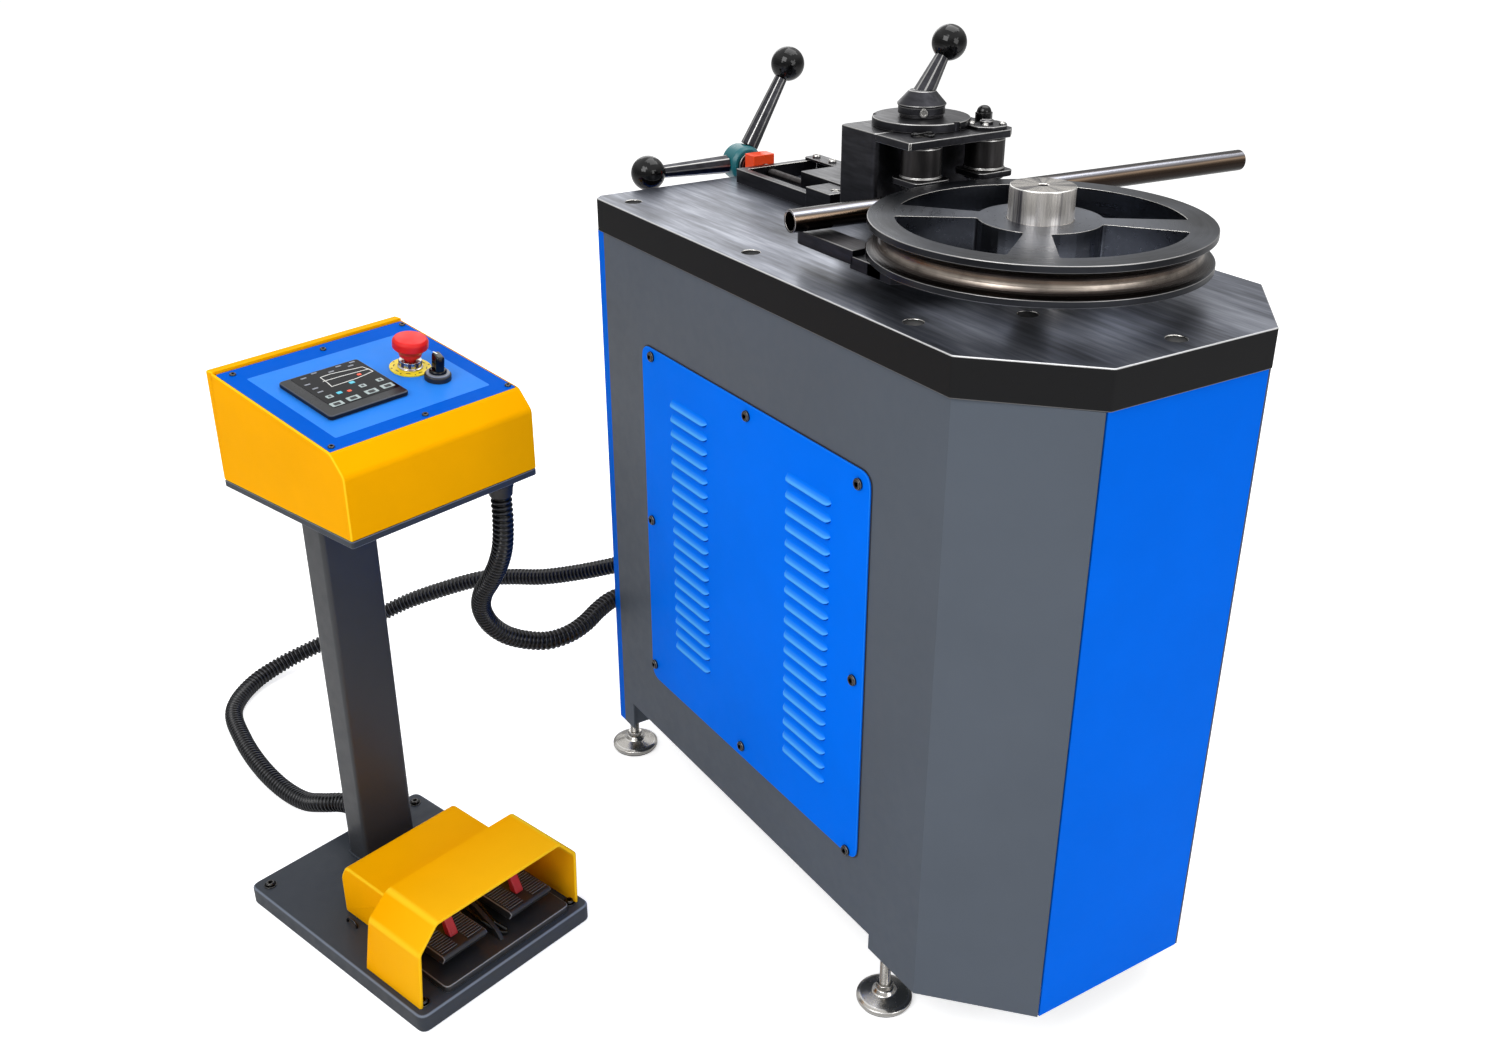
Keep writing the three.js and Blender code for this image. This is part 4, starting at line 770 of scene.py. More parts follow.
# %% [markdown]
# ## Hoses
# A corrugated hose is a spring of rings: stiff in section, easy to bend, but not tighter than about four
# times its own width. It is drawn as a section carried along a smooth curve through the points of its route.
# The ribs are a wave in the radius along the curve, broad on the crests and narrow in the valleys, one every
# eight millimetres or so.


# %% Smooth curve through points
def smooth_path(points, spacing):
    """A centripetal Catmull-Rom curve, sampled at equal steps of length. The steps' own parameter is the
    square root of the distance between points, so close points give no loops."""
    points = np.asarray(points, float)
    ends = np.vstack([2 * points[0] - points[1], points, 2 * points[-1] - points[-2]])
    gap = np.linalg.norm(np.diff(ends, axis=0), axis=1) ** 0.5
    p0, p1, p2, p3 = ends[:-3], ends[1:-2], ends[2:-1], ends[3:]
    g0, g1, g2 = gap[:-2, None], gap[1:-1, None], gap[2:, None]
    slope1 = ((p1 - p0) / g0 - (p2 - p0) / (g0 + g1) + (p2 - p1) / g1) * g1
    slope2 = ((p2 - p1) / g1 - (p3 - p1) / (g1 + g2) + (p3 - p2) / g2) * g1
    t = np.linspace(0, 1, 40, endpoint=False)[None, :, None]
    cubic = (p1[:, None] + slope1[:, None] * t + (3 * (p2 - p1) - 2 * slope1 - slope2)[:, None] * t**2
             + (2 * (p1 - p2) + slope1 + slope2)[:, None] * t**3)
    dense = np.vstack([cubic.reshape(-1, 3), points[-1:]])
    along = np.r_[0, np.cumsum(np.linalg.norm(np.diff(dense, axis=0), axis=1))]
    steps = np.linspace(0, along[-1], int(round(along[-1] / spacing)) + 1)
    return np.stack([np.interp(steps, along, dense[:, k]) for k in range(3)], 1), along[-1]


HOSE_RADIUS = 16
HOSE_SIDES = 24
RIB_PITCH, RIB_RISE = 8.3, 4.2
RINGS_A_RIB = 8


def hose(name, node, route, up):
    """A tube whose radius is valley + rise * crest^0.6, where crest is half of one plus the cosine along it."""
    path, length = smooth_path(route, RIB_PITCH / RINGS_A_RIB)
    along = np.arange(len(path)) * length / (len(path) - 1)
    crest = 0.5 + 0.5 * np.cos(2 * np.pi * along / RIB_PITCH)
    radius = HOSE_RADIUS - RIB_RISE + RIB_RISE * crest**0.6
    section = radius[:, None, None] * circle(1.0, HOSE_SIDES)
    # Painted highlight: crest^6 lightens the black plastic on each rib's crest.
    tube = swept(path, section, up, np.repeat(crest**6, HOSE_SIDES))
    made = piece(name, tube, machine, hose_plastic, node, sharp=180)
    print(name, round(length), "mm,", int(length / RIB_PITCH), "ribs")


def in_machine(place, *point):
    """A point of other axes, in the machine's millimetres."""
    return tuple(machine.inverted() @ (place @ Vector(point)))


# %% [markdown]
# ## Where the hoses run
# Each route began as points listed along the photographed hose; they were then smoothed, so that the bends
# stay wide. A hose leaves its gland straight, so the first and last three points lie on a gland's own line or
# within a millimetre of it. The panel hose hangs freely. The foot hose comes down to the floor, lies there
# and rises to the column.

# %% The two routes
BOX_GLAND, BOX_GLAND_LENGTH = (12, 213), 26
GLAND_END = BOX_BOTTOM - FLOOR_PLATE - 2 * GAP - BOX_GLAND_LENGTH
MOUTH = (-514, -176.3, 288)
panel_route = [in_machine(console, *BOX_GLAND, GLAND_END - drop) for drop in (0, 18, 36)]
panel_route += [
    (-318, -507, 550), (-343, -507, 506), (-374, -509, 466), (-407, -512, 426), (-435, -505, 384),
    (-451, -487, 344), (-459, -459, 311), (-462, -423, 288), (-461, -384, 275), (-464, -343, 274),
    (-476, -307, 278), (-494, -275, 283), (-508, -243, 287),
]
panel_route += [(MOUTH[0], MOUTH[1] - step, MOUTH[2]) for step in (34, 17, 0)]
STRAIGHT_MOUTH = (-520.6, -60, 284)
COLUMN_REAR, COLUMN_V, HOSE_Z = -165.3, 36, 72
foot_route = [(STRAIGHT_MOUTH[0] - step, *STRAIGHT_MOUTH[1:]) for step in (0, 17, 34)]
foot_route += [
    (-609, -71, 280), (-658, -100, 264), (-704, -140, 240), (-759, -184, 214), (-819, -233, 191),
    (-876, -273, 177), (-927, -314, 162), (-978, -378, 134), (-1019, -446, 104), (-1035, -523, 76),
    (-1044, -605, 52), (-1049, -689, 29), (-1021, -759, 19), (-951, -814, 17), (-844, -827, 17),
    (-731, -822, 17), (-646, -807, 19), (-582, -790, 30), (-535, -773, 50), (-500, -752, 64),
    in_machine(console, COLUMN_REAR - 48, COLUMN_V, HOSE_Z - 1),
    in_machine(console, COLUMN_REAR - 24, COLUMN_V, HOSE_Z),
    in_machine(console, COLUMN_REAR, COLUMN_V, HOSE_Z),
]
hose("panel_hose_ribbed", "panel_hose", panel_route, (1, 1, 0.2))
hose("foot_hose_ribbed", "foot_hose", foot_route, (0, 0, 1))

# %% [markdown]
# ## Table
# A fifty millimetre plate with its front corners cut off, a row of sunk screws along each side and two more
# near the spindle. The saw leaves sharp edges that the fitter breaks with a file: those bright lines are what
# the eye follows. The plate's rims are quarter rounds, and the screw wells are cut out of it afterwards.

# %% Table and its screws
TABLE_BOTTOM, TABLE_TOP = 950, 1000
SPINDLE_X = 223
SPINDLE_RADIUS, BEARING_RADIUS = 40, 50
TABLE_REAR, TABLE_FRONT, TABLE_HALF, NOSE_HALF, NOSE_START = -490, 490, 247, 128, 365
REAR_CUT = 12
table_outline = [
    (TABLE_REAR + REAR_CUT, -TABLE_HALF), (NOSE_START, -TABLE_HALF), (TABLE_FRONT, -NOSE_HALF),
    (TABLE_FRONT, NOSE_HALF), (NOSE_START, TABLE_HALF), (TABLE_REAR + REAR_CUT, TABLE_HALF),
    (TABLE_REAR, TABLE_HALF - REAR_CUT), (TABLE_REAR, -TABLE_HALF + REAR_CUT),
]
screw_places = [(x, side * 211) for x in (-427, -97, 252) for side in (-1, 1)] + [(455, 0), (300, -80)]
WELL_RADIUS, WELL_DEPTH = 12.5, 16


def socket_screw(radius, height, socket, sides=28):
    """A round head with rounded rim and a six-sided socket."""
    dome = turned([(0, 0), (radius, 0), (radius, height * 0.6), (radius * 0.82, height),
                   (socket + 1.2, height), (socket, height - 0.4)], sides, height * 0.3)
    six = circle(socket, 6)
    walls = np.vstack([np.c_[six, np.full(6, height - 0.4)], np.c_[six, np.full(6, 0.6)]])
    recess = Form(walls, grid_faces(2, 6) + [[6, 7, 8, 9, 10, 11]])
    rim = turned([(socket + 1.3, height), (socket * 0.86, height - 0.5)], sides, 0.1)
    return dome + recess + rim


def screws(name, node, size, places, height, place, finish, sides=28):
    """Equal socket screws on one face. `size` is the head's radius, its height and the socket's radius."""
    heads = [socket_screw(*size, sides).at(x, y, height) for x, y in places]
    piece(name, together(heads), place, finish, node, hides=False)


table_shape = plate(table_outline, TABLE_BOTTOM, TABLE_TOP, 1.8, corner=2.5)
table = piece("milled_table", table_shape, machine, table_steel, "table_top")
bearing_hole = rod(BEARING_RADIUS, TABLE_BOTTOM - 5, TABLE_TOP + 5, 96).at(SPINDLE_X, 0)
wells = [rod(WELL_RADIUS, TABLE_TOP - WELL_DEPTH, TABLE_TOP + 5).at(x, y) for x, y in screw_places]
cut_away(table, together([bearing_hole, *wells]), machine, 0.7, bright_edge)
well_floor = TABLE_TOP - WELL_DEPTH + 0.1
screws("table_screws", "table_top", (10, 7, 4.4), screw_places, well_floor, machine, matt_steel)

# %% [markdown]
# ## Cabinet
# Folded sheets screwed to a frame of square tube. The grey sides and the blue ends keep the solid model's own
# faces, for a folded sheet has plain faces and tight bends. So do the parts of the drive inside, which are
# castings and plain steel.

# %% Sheets, frame and drive
dressed = {
    "left_side_panel": grey_paint, "right_side_panel": grey_paint, "cabinet_frame": grey_paint,
    "front_cover": blue_paint, "rear_cover": blue_paint,
    "gearbox_housing": casting, "bearing_plate": casting, "drive_motor": casting,
    "spindle_gear": plain_steel, "drive_pinion": plain_steel, "spindle_bearing": plain_steel,
}
for node, finish in dressed.items():
    dress(node, finish)
print("nodes that keep their faces:", len(dressed))

# %% [markdown]
# ## Vent panel
# A sheet with two columns of louvres, pressed out of it in one stroke of a tool each. A louvre leans out
# towards its crest and then drops back steeply, and its ends are rounded, because metal can't be drawn to a
# corner. The louvres' light and shade are painted on them. A matt black strip round the sheet is a painted
# shadow of the gap behind it.

# %% Vent panel
VENT_X, VENT_Z, VENT_FACE = (-350, 228), (220, 806), -246.3
SHEET_FACE = 243.15
SHADOW_STRIP_SHOWS = 1.8
LOUVRE_LENGTH, LOUVRE_WIDTH, LOUVRE_RISE = 102, 15.5, 6.5
LOUVRES = 19
louvre_columns = [(-262, 740, 327), (47, 738, 309)]
vent_screws = [(-319, 794), (-52, 789), (206, 787), (-332, 517), (208, 506), (-339, 247), (-68, 241),
               (206, 227)]


def louvre():
    """Height h(u, v) = rise * lean(v) * ends(u): lean climbs steeply from the lower edge to a crest at 0.24
    of the width and falls slowly to the upper edge; ends is a quarter circle over 0.09 of the length at each
    end. The number on each point is painted light and shade for the paint: painted shade under the crest, a
    painted highlight on it."""
    u = 0.5 - 0.5 * np.cos(np.pi * np.linspace(0, 1, 15))
    v = np.array([0, 0.06, 0.14, 0.24, 0.36, 0.55, 0.78, 1.0])
    lean = np.array([0, 0.62, 0.93, 1.0, 0.93, 0.66, 0.3, 0.0])
    light = np.array([0.45, 0.0, 0.1, 0.9, 1.0, 0.75, 0.6, 0.5])
    ends = np.sqrt(np.clip(1 - (1 - np.minimum(u, 1 - u) / 0.09).clip(0, 1) ** 2, 0, 1))
    across = (v - 0.5) * LOUVRE_WIDTH
    x = np.repeat(u[:, None] * LOUVRE_LENGTH, len(v), 1)
    y = np.broadcast_to(across, x.shape) * (0.25 + 0.75 * ends[:, None])
    z = LOUVRE_RISE * ends[:, None] * lean - 0.2
    return Form(np.stack([x, y, z], -1), grid_faces(len(u), len(v), False), np.tile(light, len(u)))


def vent_outline(more, corner):
    """The sheet's outline, grown by `more` on every side."""
    grown = rectangle(VENT_X[0] - more, VENT_X[1] + more, VENT_Z[0] - more, VENT_Z[1] + more)
    return rounded(grown, corner, 6)


vent_axes = machine @ upright
sheet = plate(vent_outline(0, 22), -VENT_FACE - 3, -VENT_FACE, 1.0)
piece("vent_panel_sheet", sheet, vent_axes, vent_paint_brightened, "vent_panel", sharp=50)
# A painted shadow: a matt black strip a little larger than the sheet, where the gap round it is in shade.
shadow_strip = plate(vent_outline(SHADOW_STRIP_SHOWS, 23), SHEET_FACE - 0.4, SHEET_FACE + 0.7, 0.3)
piece("vent_shadow_strip", shadow_strip, vent_axes, matt_plastic, "vent_panel", hides=False)
louvres = [louvre().at(x, z, -VENT_FACE) for x, first, last in louvre_columns
           for z in np.linspace(first, last, LOUVRES)]
piece("vent_louvres", together(louvres), vent_axes, louvre_paint, "vent_panel", hides=False, sharp=80)
screws("vent_screws", "vent_panel", (8, 5, 3.4), vent_screws, -VENT_FACE, vent_axes, matt_steel)
print("louvres:", len(louvres))

# %% [markdown]
# ## Levelling feet
# A turned stainless pad on a threaded stem, with a hexagon to turn it by and a lock nut under the cabinet's
# post. The thread is a wave in the radius that moves along as the angle grows, which is what a helix is.

# %% Threads and feet
FOOT_Y = 224
FOOT_SIDES, RINGS_A_TURN = 72, 6
# For each end of the cabinet: the feet's x, and the height of the post's lower end above the floor.
foot_ends = {"rear": (-470, 65), "front": (278, 92)}


def thread(radius, low, high, pitch, depth, sides=24):
    """Radius r = R - depth * tri(s / pitch - angle / 2 pi), where tri runs from 1 to 0 and back each turn."""
    count = int((high - low) / pitch * RINGS_A_TURN) + 1
    s = np.linspace(low, high, count)[:, None]
    angle = np.linspace(0, 2 * np.pi, sides, endpoint=False)[None, :]
    phase = (s / pitch - angle / (2 * np.pi)) % 1
    r = radius - depth * np.abs(2 * phase - 1)
    points = np.stack([r * np.cos(angle), r * np.sin(angle), np.broadcast_to(s, r.shape)], -1)
    return Form(points, capped_faces(count, sides))


def hexagon(radius, low, high):
    return plate(circle(radius, 6), low, high, 0.8)


def levelling_foot(post_bottom):
    """Pad, stem, the hexagon on the stem and the lock nut under the post."""
    profile = [(0, 3), (39, 3), (40, 5), (40, 10), (35, 12.5), (17, 18), (13, 24), (0, 24)]
    pad = turned(profile, FOOT_SIDES, 1.4)
    stem = thread(8, 23, post_bottom + 20, 2.0, 0.8)
    return pad + stem + hexagon(12.5, 24.2, 31.5) + hexagon(13.5, post_bottom - 11, post_bottom - 0.5)


rubber = turned([(0, 0), (37, 0), (38.5, 3.2), (0, 3.2)], FOOT_SIDES, 0.6)
for end, (x, post_bottom) in foot_ends.items():
    for hand, y in (("left", -FOOT_Y), ("right", FOOT_Y)):
        node = f"{end}_{hand}_foot"
        piece(node + "_turned", levelling_foot(post_bottom).at(x, y), machine, stainless, node)
        piece(node + "_rubber", rubber.at(x, y), machine, matt_plastic, node, hides=False)
print("feet:", 2 * len(foot_ends))

# %% [markdown]
# ## Bending wheel and spindle
# The wheel is turned: a rim with a half-round groove that fits the tube, a hub, and four windows between the
# spokes. It is made as a turned ring, the windows are cut out, and every cut edge is broken. The spindle is
# the one bright part, faced on the lathe, with its centre hole in the top.

# %% Spindle and wheel
WHEEL_BOTTOM, WHEEL_TOP, WHEEL_RADIUS, WHEEL_BORE = 1038, 1086, 209, SPINDLE_RADIUS + GAP
TUBE_Z, TUBE_RADIUS, TUBE_BORE = 1062, 15, 12
GROOVE_RADIUS = 15.5
SPINDLE_TOP = 1126
FOOT, FLANGE_RADIUS, FLANGE_BOTTOM = 804, 62, TABLE_TOP + 3
spindle_profile = [
    (0, FOOT), (25, FOOT), (25, FOOT + 38), (SPINDLE_RADIUS, FOOT + 38), (SPINDLE_RADIUS, FLANGE_BOTTOM),
    (FLANGE_RADIUS, FLANGE_BOTTOM), (FLANGE_RADIUS, WHEEL_BOTTOM - GAP), (SPINDLE_RADIUS, WHEEL_BOTTOM - GAP),
    (SPINDLE_RADIUS, SPINDLE_TOP), (6.5, SPINDLE_TOP), (4, SPINDLE_TOP - 4), (0, SPINDLE_TOP - 9),
]
piece("turned_spindle", turned(spindle_profile, 128, 1.6).at(SPINDLE_X), machine, spindle_steel, "spindle")

groove = [(WHEEL_RADIUS - GROOVE_RADIUS * math.cos(a), TUBE_Z + GROOVE_RADIUS * math.sin(a))
          for a in np.linspace(-1.45, 1.45, 17)]
wheel_profile = [
    (WHEEL_BORE, WHEEL_BOTTOM), (WHEEL_RADIUS, WHEEL_BOTTOM), (WHEEL_RADIUS, TUBE_Z - GROOVE_RADIUS),
    *groove,
    (WHEEL_RADIUS, TUBE_Z + GROOVE_RADIUS), (WHEEL_RADIUS, WHEEL_TOP), (WHEEL_BORE, WHEEL_TOP),
]
wheel_eases = [1.2] * 3 + [0.02] * len(groove) + [1.2] * 3
RIM_INNER, HUB_RADIUS = 176, 76
RIM_HALF, HUB_HALF = math.radians(35.5), math.radians(33)
RIM_POINTS, HUB_POINTS, WINDOW_CORNER = 25, 9, 9


def window(middle_angle):
    """The outline between two spokes: the hub's arc backwards, then the rim's arc, with rounded corners."""
    hub = np.linspace(middle_angle + HUB_HALF, middle_angle - HUB_HALF, HUB_POINTS)
    rim = np.linspace(middle_angle - RIM_HALF, middle_angle + RIM_HALF, RIM_POINTS)
    points = np.vstack([HUB_RADIUS * np.stack([np.cos(hub), np.sin(hub)], 1),
                        RIM_INNER * np.stack([np.cos(rim), np.sin(rim)], 1)])
    cuts = np.full(len(points), 0.2)
    cuts[[0, HUB_POINTS - 1, HUB_POINTS, -1]] = WINDOW_CORNER
    return rounded(points, cuts)


wheel_shape = turned(wheel_profile, 192, wheel_eases, closed=True).at(SPINDLE_X)
wheel = piece("grooved_wheel", wheel_shape, machine, wheel_steel, "bending_wheel")
for quarter in range(4):
    opening = plate(window(quarter * math.pi / 2), WHEEL_BOTTOM - 4, WHEEL_TOP + 4, 0)
    cut_away(wheel, opening.at(SPINDLE_X), machine)
ease_edges(wheel, 1.3, bright_edge)
print("wheel faces:", len(wheel.data.polygons))

# %% [markdown]
# ## Tube and hook
# The tube is drawn steel, cut square at both ends. It lies in the groove, a few degrees off the machine's
# axis. The hook is an arm under the wheel that turns with it: an eye round the spindle's flange and a tip
# below the tube, milled round where the wheel's rim lies over it.

# %% Tube and hook
TUBE_TURN = math.radians(4.3)
TUBE_REAR, TUBE_FRONT = -229, 535
REACH = WHEEL_RADIUS + 0.5
touch_point = (SPINDLE_X - REACH * math.cos(TUBE_TURN), REACH * math.sin(TUBE_TURN), TUBE_Z)
tube_axes = (machine @ Matrix.Translation(touch_point) @ Matrix.Rotation(-TUBE_TURN, 4, "Z")
             @ Matrix.Rotation(-math.pi / 2, 4, "X"))
tube_profile = [(TUBE_BORE, TUBE_REAR), (TUBE_RADIUS, TUBE_REAR), (TUBE_RADIUS, TUBE_FRONT),
                (TUBE_BORE, TUBE_FRONT)]
piece("drawn_tube", turned(tube_profile, 64, 0.8, closed=True), tube_axes, tube_steel, "sample_tube")

HOOK_BOTTOM, HOOK_TOP, HOOK_OUTER = 1021, 1037.6, -189
EYE_BORE, EYE_RADIUS = 62.3, 82
TIP_BOTTOM, TIP_TOP, TIP_RADIUS = 1026, 1045, 19
TIP_X, TIP_Y = -237, -170
hook_axes = moved(machine, SPINDLE_X)
eye_profile = [(EYE_BORE, HOOK_BOTTOM), (EYE_RADIUS, HOOK_BOTTOM), (EYE_RADIUS, HOOK_TOP + 0.1),
               (EYE_BORE, HOOK_TOP + 0.1)]
eye = turned(eye_profile, 96, 1.0, closed=True)
arm_outline = [(-36, 8), (-92, -125), (-92, HOOK_OUTER), (-45, HOOK_OUTER), (36, -20)]
arm = plate(arm_outline, HOOK_BOTTOM, HOOK_TOP, 1.0)
hook = piece("hook_arm", arm, hook_axes, black_steel, "tube_hook")
cut_away(hook, rod(EYE_BORE - 0.1, 1010, 1050, 96), hook_axes)
under = slab(-131, -60, HOOK_OUTER, -151, HOOK_BOTTOM + 0.2, HOOK_TOP - 0.1, 1.0, 6)
piece("hook_eye", eye + under, hook_axes, black_steel, "tube_hook", hides=False)
tip_arc = np.linspace(math.pi / 2, 1.5 * math.pi, 15)
tip_round = np.c_[TIP_X + TIP_RADIUS * np.cos(tip_arc), TIP_Y + TIP_RADIUS * np.sin(tip_arc)]
tip_outline = np.vstack([tip_round, [(-123, HOOK_OUTER), (-123, -151)]])
tip_plate = plate(tip_outline, TIP_BOTTOM, TIP_TOP, 1.2)
tip = piece("hook_tip", tip_plate, hook_axes, black_steel, "tube_hook", hides=False)
cut_away(tip, rod(WHEEL_RADIUS + 1, HOOK_TOP + 0.1, 1060, 128), hook_axes, 0.8, bright_edge)

# %% [markdown]
# ## Slide frame
# The carriage slides in a shallow frame that is screwed to the table. Rails and blocks are milled, blackened
# and broken at the edges. The two guide screws are sunk into wells, so that the carriage passes over them.

# %% Slide frame
SLIDE_Y, SCREW_Y = 64, 42
SCREW_Z = TABLE_TOP + 11.5
RAIL_HALF, RAIL_WIDTH, SLOT_HALF = 79, 14, 35
RAIL_TOP, GUIDE_TOP = TABLE_TOP + 22.5, TABLE_TOP + 32
near_rail, far_rail = SLIDE_Y - RAIL_HALF, SLIDE_Y + RAIL_HALF


def bore_along_x(radius, start, length, sides=24):
    """A bar to cut with, along the feed screw's line from x = start."""
    return rod(radius, 0, length, sides).placed(Matrix.Translation((start, SCREW_Y, SCREW_Z)) @ along_x)


rails = slab(-450, -256, near_rail, far_rail, TABLE_TOP + GAP, RAIL_TOP, 1.2)
rails = piece("slide_rails", rails, machine, black_steel, "slide_frame")
inside = slab(-436, -240, near_rail + RAIL_WIDTH, far_rail - RAIL_WIDTH, TABLE_TOP - 5, TABLE_TOP + 40, 0)
cut_away(rails, inside, machine)
cut_away(rails, bore_along_x(8, -460, 30), machine, 0.9, bright_edge)

guides = [slab(-257, -196, SLIDE_Y + y0, SLIDE_Y + y1, TABLE_TOP + GAP, GUIDE_TOP, 1.4)
          for y0, y1 in ((-RAIL_HALF, -SLOT_HALF), (SLOT_HALF, RAIL_HALF))]
guides = piece("guide_blocks", together(guides), machine, black_steel, "slide_frame", hides=False)
well_places = [(-212, SLIDE_Y - 57), (-212, SLIDE_Y + 57)]
wells = [rod(7.4, GUIDE_TOP - 4.4, TABLE_TOP + 40, 28).at(x, y) for x, y in well_places]
cut_away(guides, together(wells), machine, 0.6, bright_edge)
screws("guide_screws", "slide_frame", (5.6, 3.2, 2.8), well_places, GUIDE_TOP - 4.3, machine, plain_steel)

far_plate = slab(-449, -322, far_rail - 30, far_rail, RAIL_TOP - 0.1, TABLE_TOP + 27, 1.2, 6)
piece("far_rail_plate", far_plate, machine, black_steel, "slide_frame", hides=False)
plate_screws = [(x, far_rail - 17) for x in (-432, -388, -344)]
screws("far_rail_screws", "slide_frame", (6.5, 5, 3), plate_screws, TABLE_TOP + 26.8, machine, plain_steel)

# %% [markdown]
# ## Carriage
# A tongue runs in the slide and takes the feed screw. On it stands a thick wall, and the wall carries a top
# plate that reaches over towards the tube. A bent wire clip lies over one roller pin and a small screwed
# plate over the other.

# %% Carriage
CARRIAGE_TOP, PLATE = 1142, 10.5
PLATE_BOTTOM = CARRIAGE_TOP - PLATE
NEAR_Y, FAR_Y = -36, 150
TONGUE_TOP = TABLE_TOP + 34.5
wall = slab(-146, -64, NEAR_Y, FAR_Y, TONGUE_TOP - 1, CARRIAGE_TOP, 1.6, 9)
piece("carriage_wall", wall, machine, black_steel, "carriage_body")
tongue = slab(-336, -70, SLIDE_Y - 34, SLIDE_Y + 34, TABLE_TOP + 0.8, TONGUE_TOP, 1.2)
tongue = piece("carriage_tongue", tongue, machine, black_steel, "carriage_body", hides=False)
cut_away(tongue, bore_along_x(7.6, -340, 220), machine, 0.7, bright_edge)

ROLLER_X, ROLLER_YS = -21, (SLIDE_Y - 55, SLIDE_Y + 55)
top_outline = [(-63.7, NEAR_Y), (8, NEAR_Y), (10, NEAR_Y + 2), (10, FAR_Y - 14), (-4, FAR_Y), (-63.7, FAR_Y)]
top_plate = plate(top_outline, PLATE_BOTTOM, CARRIAGE_TOP, 1.3)
top_plate = piece("carriage_plate", top_plate, machine, black_steel, "carriage_top_plate")
for y in ROLLER_YS:
    cut_away(top_plate, rod(10.5, CARRIAGE_TOP - 20, CARRIAGE_TOP + 5, 40).at(ROLLER_X, y), machine)
ease_edges(top_plate, 0.8, bright_edge)


def clip(radius, wire):
    """A wire bent into two touching rings: x = 2 r sin a, y = r sin 2a, z = 0.6 wire cos a."""
    angle = np.linspace(0, 2 * np.pi, 48, endpoint=False) + 0.3
    path = np.stack([2 * radius * np.sin(angle), radius * np.sin(2 * angle), 0.6 * wire * np.cos(angle)], 1)
    path = np.vstack([path, path[:1]])
    return swept(path, circle(wire, 10), (0, 0, 1), caps=False)


CLIP_TURN = math.radians(57)
clip_place = moved(machine, ROLLER_X + 2, ROLLER_YS[0] - 1, CARRIAGE_TOP + 2.2)
clip_axes = clip_place @ Matrix.Rotation(CLIP_TURN, 4, "Z")
piece("pin_clip", clip(7.4, 1.7), clip_axes, ball_plastic, "carriage_top_plate", hides=False)
keeper_outline = [(-34, 92), (-8, 92), (6, 108), (6, 132), (-10, 146), (-34, 146)]
keeper = plate(keeper_outline, CARRIAGE_TOP, CARRIAGE_TOP + 5, 1.2, corner=5)
boss = turned([(0, 4), (9, 4), (9, 9), (6, 11), (0, 11)], 40, 1.0).at(-20, 118, CARRIAGE_TOP)
piece("pin_keeper", keeper + boss, machine, black_steel, "carriage_top_plate", hides=False)
keeper_screws = [(-6, 104), (-4, 132), (-27, 98)]
screws("keeper_screws", "carriage_top_plate", (4.4, 4, 2.2), keeper_screws, CARRIAGE_TOP + 4.6, machine,
       plain_steel)

# %% [markdown]
# ## Rollers
# Under the top plate hang two barrels, each with a square shoe, and under each shoe a grooved roller turns
# freely with the pin through its barrel. The roller's groove is a part of a circle a little wider than the
# tube.

# %% Rollers
SHOE_BOTTOM, SHOE_TOP, BARREL_TOP = 1078.6, 1087, PLATE_BOTTOM - GAP
PIN_RADIUS, PIN_TOP = 10, CARRIAGE_TOP - 1
ROLLER_HALF, ROLLER_RADIUS = 14.5, 28
ARC_CENTRE, ARC_RADIUS, ARC_HALF = 35.2, 16, 13
grooved = [(ARC_CENTRE - math.sqrt(ARC_RADIUS**2 - z**2), TUBE_Z + z)
           for z in np.linspace(-ARC_HALF, ARC_HALF, 13)]
follower_profile = [
    (0, TUBE_Z - ROLLER_HALF), (ROLLER_RADIUS, TUBE_Z - ROLLER_HALF), *grooved,
    (ROLLER_RADIUS, TUBE_Z + ROLLER_HALF), (PIN_RADIUS, TUBE_Z + ROLLER_HALF), (PIN_RADIUS, PIN_TOP),
    (0, PIN_TOP),
]
SLEEVE_BORE = PIN_RADIUS + 0.4
barrel_profile = [(SLEEVE_BORE, SHOE_TOP - 1), (28.4, SHOE_TOP - 1), (28.4, SHOE_TOP + 3), (27, SHOE_TOP + 4),
                  (27, BARREL_TOP - 3), (26, BARREL_TOP), (SLEEVE_BORE, BARREL_TOP)]
for number, y in enumerate(ROLLER_YS, 1):
    housing = f"roller_housing_{number}"
    barrel = turned(barrel_profile, 96, 0.8, closed=True).at(ROLLER_X, y)
    piece(f"roller_barrel_{number}", barrel, machine, dark_barrel, housing)
    shoe = slab(-30, 30, -30, 30, SHOE_BOTTOM, SHOE_TOP, 1.2, 12).at(ROLLER_X, y)
    shoe = piece(f"roller_shoe_{number}", shoe, machine, black_steel, housing, hides=False)
    cut_away(shoe, rod(SLEEVE_BORE, SHOE_BOTTOM - 5, SHOE_TOP + 5, 40).at(ROLLER_X, y), machine)
    ease_edges(shoe, 0.4)
    roller = turned(follower_profile, 96, 0.6).at(ROLLER_X, y)
    piece(f"grooved_roller_{number}", roller, machine, plain_steel, f"follower_roller_{number}")
print("roller housings:", len(ROLLER_YS))

# %% [markdown]
# ## Clamp
# A disc with three notches, a conical hub and a handle forged from eight-sided bar that ends in a plastic
# ball. A ball is turned with a flat where it is screwed on.

